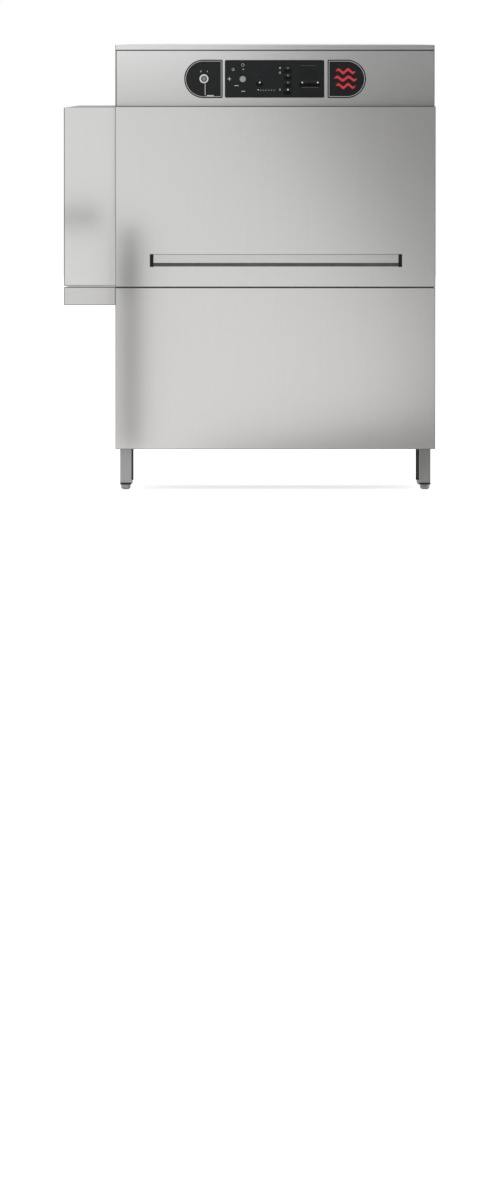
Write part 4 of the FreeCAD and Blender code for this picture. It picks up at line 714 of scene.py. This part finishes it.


# Push buttons. Black caps stand a little proud of the middle plate. Each one is painted paler
# above its middle and darker below it, as painted light and shade, and carries one small lit or
# unlit dot.
lit_ink = ink("lit_ink", (0.88, 0.88, 0.88))
unlit_ink = ink("unlit_ink", (0.27, 0.27, 0.27))
button_dots = {
    "start_button": (0.00032, -0.00163, lit_ink),
    "column_button_1": (0.00076, 0.00558, unlit_ink),
    "column_button_2": (0.00076, 0.00408, unlit_ink),
    "column_button_3": (0.00076, 0.00537, unlit_ink),
    "column_button_4": (0.00076, 0.00630, lit_ink),
    "left_level_button": (-0.00749, 0.00187, lit_ink),
    "right_level_button": (0.01132, 0.00187, lit_ink),
}
for node, (across, rise, dot_ink) in button_dots.items():
    low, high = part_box(node)
    cap = Paint(f"{node}_plastic", (0.022, 0.0228, 0.0238), 0.42, Specular_IOR_Level=0.1)
    skin = cap.cloud((1000, 1000, 1000), detail=1)
    # The upper half is painted paler and the lower half darker, as painted light and shade.
    upper = cap.along("z") > (low.z + high.z) / 2
    cap.feed("Base Color", cap.blend(upper, (0.004, 0.004, 0.0043), cap.shades(skin, 0.2)))
    cap.gloss(skin, 0.14)
    cap.emboss(skin, 0.00001)
    cap.dress(node)
    shape = bmesh.new()
    spot(shape, *beside(node, across, rise), 0.0026, sides=16, face=low.y)
    piece(shape, f"{node}_dot", dot_ink, f"{node}_cap")


# Window lamps. A row of six small round lamps, all off, shows in the long pane under the left
# readout, and a seventh at the row's left end is lit.
window_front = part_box("display_windows")[0].y
lamp_pitch = 0.00972
shape = bmesh.new()
for step in range(6):
    middle = beside("display_windows", -0.09357 + step * lamp_pitch, -0.03186)
    spot(shape, *middle, 0.0024, 0.0012, 14, window_front)
piece(shape, "window_lamps", unlit_ink, "cabinet")
shape = bmesh.new()
spot(shape, *beside("display_windows", -0.10258, -0.03042), 0.0018, 0, 14, window_front)
piece(shape, "window_lamp_lit", lit_ink, "cabinet")


# Rack transport. Two folded rails carry the racks, and a sliding frame of bent strip pushes them
# with weighted pawls. The sliding faces are rubbed bright and their sides stay dull.
def slid_steel(name, color, roughness, rubbed):
    """Steel plate with dark hollows in its skin and bright rubbed patches."""
    paint = Paint(name, color, roughness, Metallic=1)
    rubs = paint.cloud((12, 90, 90), detail=3)
    spots = paint.cloud((240, 240, 240), detail=3)
    paint.tint(rubs * 0.6 + spots * 0.4, rubbed)
    paint.gloss(rubs, 0.26)
    paint.emboss(spots, 0.00004)
    return paint


rolled_sheet("track_sheet", (0.50, 0.50, 0.495), 0.3, film=0.6).dress("rack_track")
slid_steel("drag_steel", (0.47, 0.47, 0.465), 0.34, 0.2).dress("drag_frame")
slid_steel("pawl_plate", (0.40, 0.40, 0.395), 0.4, 0.3).dress(
    "entry_pawls", "centre_pawls", "exit_pawls")
slid_steel("rocker_steel", (0.36, 0.36, 0.355), 0.42, 0.3).dress("rocker_arm")


# Drive gearmotor. A cast worm gear case carries a short ribbed motor with a terminal box. All of
# it is painted in a blue-grey machine enamel that pools in the corners.
def enamel(name, color, roughness=0.38):
    paint = Paint(name, color, roughness, Coat_Weight=0.25, Coat_Roughness=0.2)
    peel = paint.cloud((420, 420, 420), detail=1)
    pools = paint.cloud((24, 24, 24), detail=4)
    paint.tint(pools, 0.24)
    paint.gloss(pools * 0.6 + peel * 0.4, 0.16)
    paint.emboss(peel * 0.5 + pools * 0.5, 0.00012)
    return paint


gear_enamel = enamel("gear_enamel", (0.08, 0.115, 0.165))
gear_enamel.dress("drive_gearmotor")


def block(shape, low, high):
    """Adds a box between two corners."""
    size = [end - start for start, end in zip(low, high)]
    middle = [(start + end) / 2 for start, end in zip(low, high)]
    made = bmesh.ops.create_cube(shape, size=1,
                                 matrix=Matrix.Translation(middle) @ Matrix.Diagonal((*size, 1)))
    return made["verts"]


def ribs(shape, start, end, inner, outer, count, thick):
    """Cooling ribs that run along a motor from start to end and stand round its axis."""
    axis = (Vector(end) - Vector(start)).normalized()
    side = axis.orthogonal().normalized()
    length = (Vector(end) - Vector(start)).length
    frame_turn = Matrix((side, axis.cross(side), axis)).transposed().to_4x4()
    for step in range(count):
        angle = math.radians(360 * step / count)
        place = Matrix.Translation(start) @ frame_turn @ Matrix.Rotation(angle, 4, "Z")
        middle = Matrix.Translation(((inner + outer) / 2, 0, length / 2))
        size = Matrix.Diagonal((outer - inner, thick, length, 1))
        bmesh.ops.create_cube(shape, size=1, matrix=place @ middle @ size)


def edges_of(verts):
    """The edges round some points, each once and always in the same order."""
    return list(dict.fromkeys(edge for vert in verts for edge in vert.link_edges))


def bevelled(shape, verts, width, steps=2):
    """Rounds the edges of what was just added."""
    bmesh.ops.bevel(shape, geom=edges_of(verts), offset=width, segments=steps, affect="EDGES",
                    profile=0.5, material=-1)


def terminal_box(shape, low, high, lid_foot, lid_top, corner):
    """Adds a motor's terminal box between two corners. Its lid stands proud of it all round."""
    proud = 0.002
    bevelled(shape, block(shape, low, high), corner)
    lid_low = (low[0] - proud, low[1] - proud, lid_foot)
    lid_high = (high[0] + proud, high[1] + proud, lid_top)
    bevelled(shape, block(shape, lid_low, lid_high), 0.002)


motor_y = 0.240
motor_z = 0.340
gear_lid_z = 0.432
gear_case_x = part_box("drive_gearmotor")[0].x


def on_axis(across):
    """A point on the drive motor's axis."""
    return across, motor_y, motor_z


shape = bmesh.new()
ribs(shape, on_axis(0.508), on_axis(0.606), inner=0.0505, outer=0.0575, count=30, thick=0.0022)
bar(shape, on_axis(0.606), on_axis(0.634), 0.0585, sides=48)
bar(shape, on_axis(0.634), on_axis(0.638), 0.0585, 0.0530, 48)
bar(shape, on_axis(0.500), on_axis(0.509), 0.0560, sides=48)
terminal_box(shape, (0.525, 0.205, 0.390), (0.590, 0.275, 0.428), 0.426, gear_lid_z,
             0.004)
piece(shape, "drive_motor_ribs", gear_enamel, "cabinet")
shape = bmesh.new()
for across in (0.530, 0.585):
    for deep in (0.210, 0.270):
        flange_screw(shape, (across, deep, gear_lid_z), (0, 0, 1), 0.0040)
for deep in (0.205, 0.275):
    for rise in (0.306, 0.374):
        flange_screw(shape, (gear_case_x, deep, rise), (-1, 0, 0), 0.0055)
piece(shape, "gear_case_screws", screw_steel, "cabinet")


# Splash curtains. Each is six strips of dark rubber, nearly 3 mm thick, that hang from a sleeve
# round the rod. Neighbours overlap by a few millimetres, and each strip curls a little.
rubber = Paint("strip_rubber", (0.045, 0.045, 0.05), 0.62, Specular_IOR_Level=0.4)
rubber_weave = rubber.cloud((260, 260, 60), detail=2)
rubber_bloom = rubber.cloud((16, 16, 7), detail=4)
clean_rubber = (0.024, 0.024, 0.027)
bloom_grey = (0.105, 0.106, 0.112)
rubber.feed("Base Color", rubber.blend(rubber_bloom, clean_rubber, bloom_grey))
rubber.gloss(rubber_bloom, 0.24)
rubber.emboss(rubber_weave, 0.00008)

strip_count = 6
strip_overlap = 0.006
strip_thickness = 0.0026
layer_reach = 0.0017
curl_share = 0.36
sway_reach = 0.0014
sleeve_radius = 0.0064
sleeve_rounding = 0.0006


def splash_curtain(name, node, body, seed):
    """Strips that hang by turns on either side of their rod. The seed shapes how they curl."""
    low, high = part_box(node)
    middle = (low.x + high.x) / 2
    top = high.z - (high.x - low.x) / 2
    drop = top - low.z
    pitch = (high.y - low.y) / strip_count
    shape = bmesh.new()
    for strip in range(strip_count):
        centre = low.y + pitch * (strip + 0.5)
        made = bmesh.ops.create_grid(
            shape, x_segments=8, y_segments=26, size=0.5,
            matrix=Matrix.Translation((middle, centre, (top + low.z) / 2))
            @ Matrix.Rotation(math.radians(90), 4, "Y")
            @ Matrix.Diagonal((drop, pitch + strip_overlap, 1, 1)))
        layer = layer_reach if strip % 2 else -layer_reach
        for vert in made["verts"]:
            down = (top - vert.co.z) / drop
            aside = (vert.co.y - centre) / pitch
            bulge = (1 + math.sin(strip * 2.1 + seed)) * down * (0.25 - aside * aside)
            sway = math.sin(down * 2.6 + seed) * down
            vert.co.x += layer * (1 + curl_share * bulge) + sway_reach * sway
            vert.co.y = min(max(vert.co.y, low.y), high.y)
    bmesh.ops.remove_doubles(shape, verts=shape.verts, dist=1e-5)
    bmesh.ops.recalc_face_normals(shape, faces=shape.faces)
    bmesh.ops.solidify(shape, geom=list(shape.faces), thickness=strip_thickness)
    sleeve = bar(shape, (middle, low.y, top), (middle, high.y, top), sleeve_radius)
    bevelled(shape, sleeve, sleeve_rounding, 1)
    made = piece(shape, name, rubber, body, 50)
    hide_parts(node)


splash_curtain("entry_curtain_strips", "entry_curtain", "entry_splash_curtain", 0.4)
splash_curtain("exit_curtain_strips", "exit_curtain", "exit_splash_curtain", 2.6)


# Wash pump. A close-coupled pump: a cast spiral casing behind, and a ribbed motor in front with a
# fan cowl, and a terminal box on top. Both are painted in a grey machine enamel.
pump_enamel = enamel("pump_enamel", (0.135, 0.145, 0.155), 0.42)
pump_enamel.dress("wash_pump")
low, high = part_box("wash_pump")
pump_x = (low.x + high.x) / 2
pump_z = 0.280
pump_lid_z = 0.388


def on_shaft(deep):
    """A point on the pump shaft's line."""
    return pump_x, deep, pump_z


shape = bmesh.new()
ribs(shape, on_shaft(0.060), on_shaft(0.214), inner=0.0625, outer=0.0705, count=34, thick=0.0024)
bar(shape, on_shaft(0.012), on_shaft(0.058), 0.0725, sides=56)
bar(shape, on_shaft(0.008), on_shaft(0.012), 0.0670, 0.0725, 56)
bar(shape, on_shaft(0.214), on_shaft(0.231), 0.0715, sides=56)
terminal_box(shape, (pump_x - 0.045, 0.085, 0.340), (pump_x + 0.045, 0.165, 0.384), 0.381,
             pump_lid_z, 0.005)
piece(shape, "pump_motor_ribs", pump_enamel, "cabinet")


# Fan grille. The end of the pump motor's cowl is closed by five rings of black moulded plastic on
# six spokes and a hub.
grille_black = moulded("grille_plastic", (0.02, 0.02, 0.021), 0.5)
grille_y = 0.0076
inner_ring = 0.014
ring_spacing = 0.011
shape = bmesh.new()
for ring in range(5):
    radius = inner_ring + ring_spacing * ring
    made = bmesh.ops.create_circle(
        shape, segments=10, radius=0.0016,
        matrix=Matrix.Translation((pump_x + radius, grille_y, pump_z)))
    bmesh.ops.spin(shape, geom=made["verts"] + edges_of(made["verts"]), cent=on_shaft(grille_y),
                   axis=(0, 1, 0), angle=2 * math.pi, steps=48, use_merge=True)
ribs(shape, on_shaft(0.0062), on_shaft(0.0090), inner=0.006, outer=0.060, count=6, thick=0.0030)
bar(shape, on_shaft(0.0056), on_shaft(0.0090), 0.008)
piece(shape, "pump_fan_grille", grille_black, "cabinet")


# Pump screws. Eight flange screws hold the motor to the spiral casing, and four small ones hold
# the lid of the terminal box.
casing_ring = 0.074
casing_face = 0.232
shape = bmesh.new()
for turn in range(8):
    angle = math.radians(45 * turn + 22.5)
    seat = (pump_x + casing_ring * math.cos(angle), casing_face,
            pump_z + casing_ring * math.sin(angle))
    flange_screw(shape, seat, (0, -1, 0), 0.0052)
for across in (-0.040, 0.040):
    for deep in (0.091, 0.159):
        flange_screw(shape, (pump_x + across, deep, pump_lid_z), (0, 0, 1), 0.0036)
piece(shape, "pump_screws", screw_steel, "cabinet")


# Rinse booster. A lying stainless vessel heats the last rinse. It is left with its weld colours,
# and its heater flange is held by a ring of hexagon screws and carries two terminals.
vessel = Paint("vessel_sheet", (0.50, 0.50, 0.49), 0.33, Metallic=1)
vessel_runs = vessel.cloud((6, 60, 60), detail=3)
vessel_heat = vessel.node("ShaderNodeMapRange", None,
                          {"Value": vessel.cloud((18, 9, 9), detail=3), "From Min": 0.56,
                           "From Max": 0.72})
straw = (0.46, 0.36, 0.22)
vessel.feed("Base Color", vessel.blend(vessel_heat * 0.55, vessel.shades(vessel_runs, 0.1), straw))
vessel.gloss(vessel_runs, 0.16)
vessel.emboss(vessel_runs, 0.00003)
vessel.dress("rinse_booster")
low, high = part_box("rinse_booster")
flange_x = low.x
booster_y = (low.y + high.y) / 2
booster_z = 0.280
flange_ring = 0.052
terminal_length = 0.010
shape = bmesh.new()
for turn in range(6):
    angle = math.radians(60 * turn + 30)
    seat = (flange_x, booster_y + flange_ring * math.cos(angle),
            booster_z + flange_ring * math.sin(angle))
    flange_screw(shape, seat, (-1, 0, 0), 0.0060)
for aside in (-0.016, 0.016):
    bar(shape, (flange_x, booster_y + aside, booster_z),
        (flange_x - terminal_length, booster_y + aside, booster_z), 0.0032, sides=16)
piece(shape, "booster_flange_screws", screw_steel, "cabinet")


# Back connections. The water comes in through a turned brass inlet with a hose thread, which has
# gone dull in patches, and the cable through a black moulded gland.
brass = Paint("brass", (0.56, 0.42, 0.19), 0.3, Metallic=1)
brass_tarnish = brass.cloud((70, 70, 70), detail=4)
brass.feed("Base Color", brass.blend(brass_tarnish, (0.36, 0.26, 0.12), (0.66, 0.50, 0.24)))
brass.gloss(brass_tarnish, 0.24)
thread_pitch = 0.0018055
thread_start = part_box("water_inlet")[1].y - 0.0235
brass_thread = (brass.along("y") * (2 * math.pi / thread_pitch)).wave() * 0.5 + 0.5
brass.emboss(brass_thread * (brass.along("y") > thread_start), 0.0005)
brass.dress("water_inlet")
moulded("gland_plastic", (0.03, 0.03, 0.032), 0.5).dress("cable_gland")
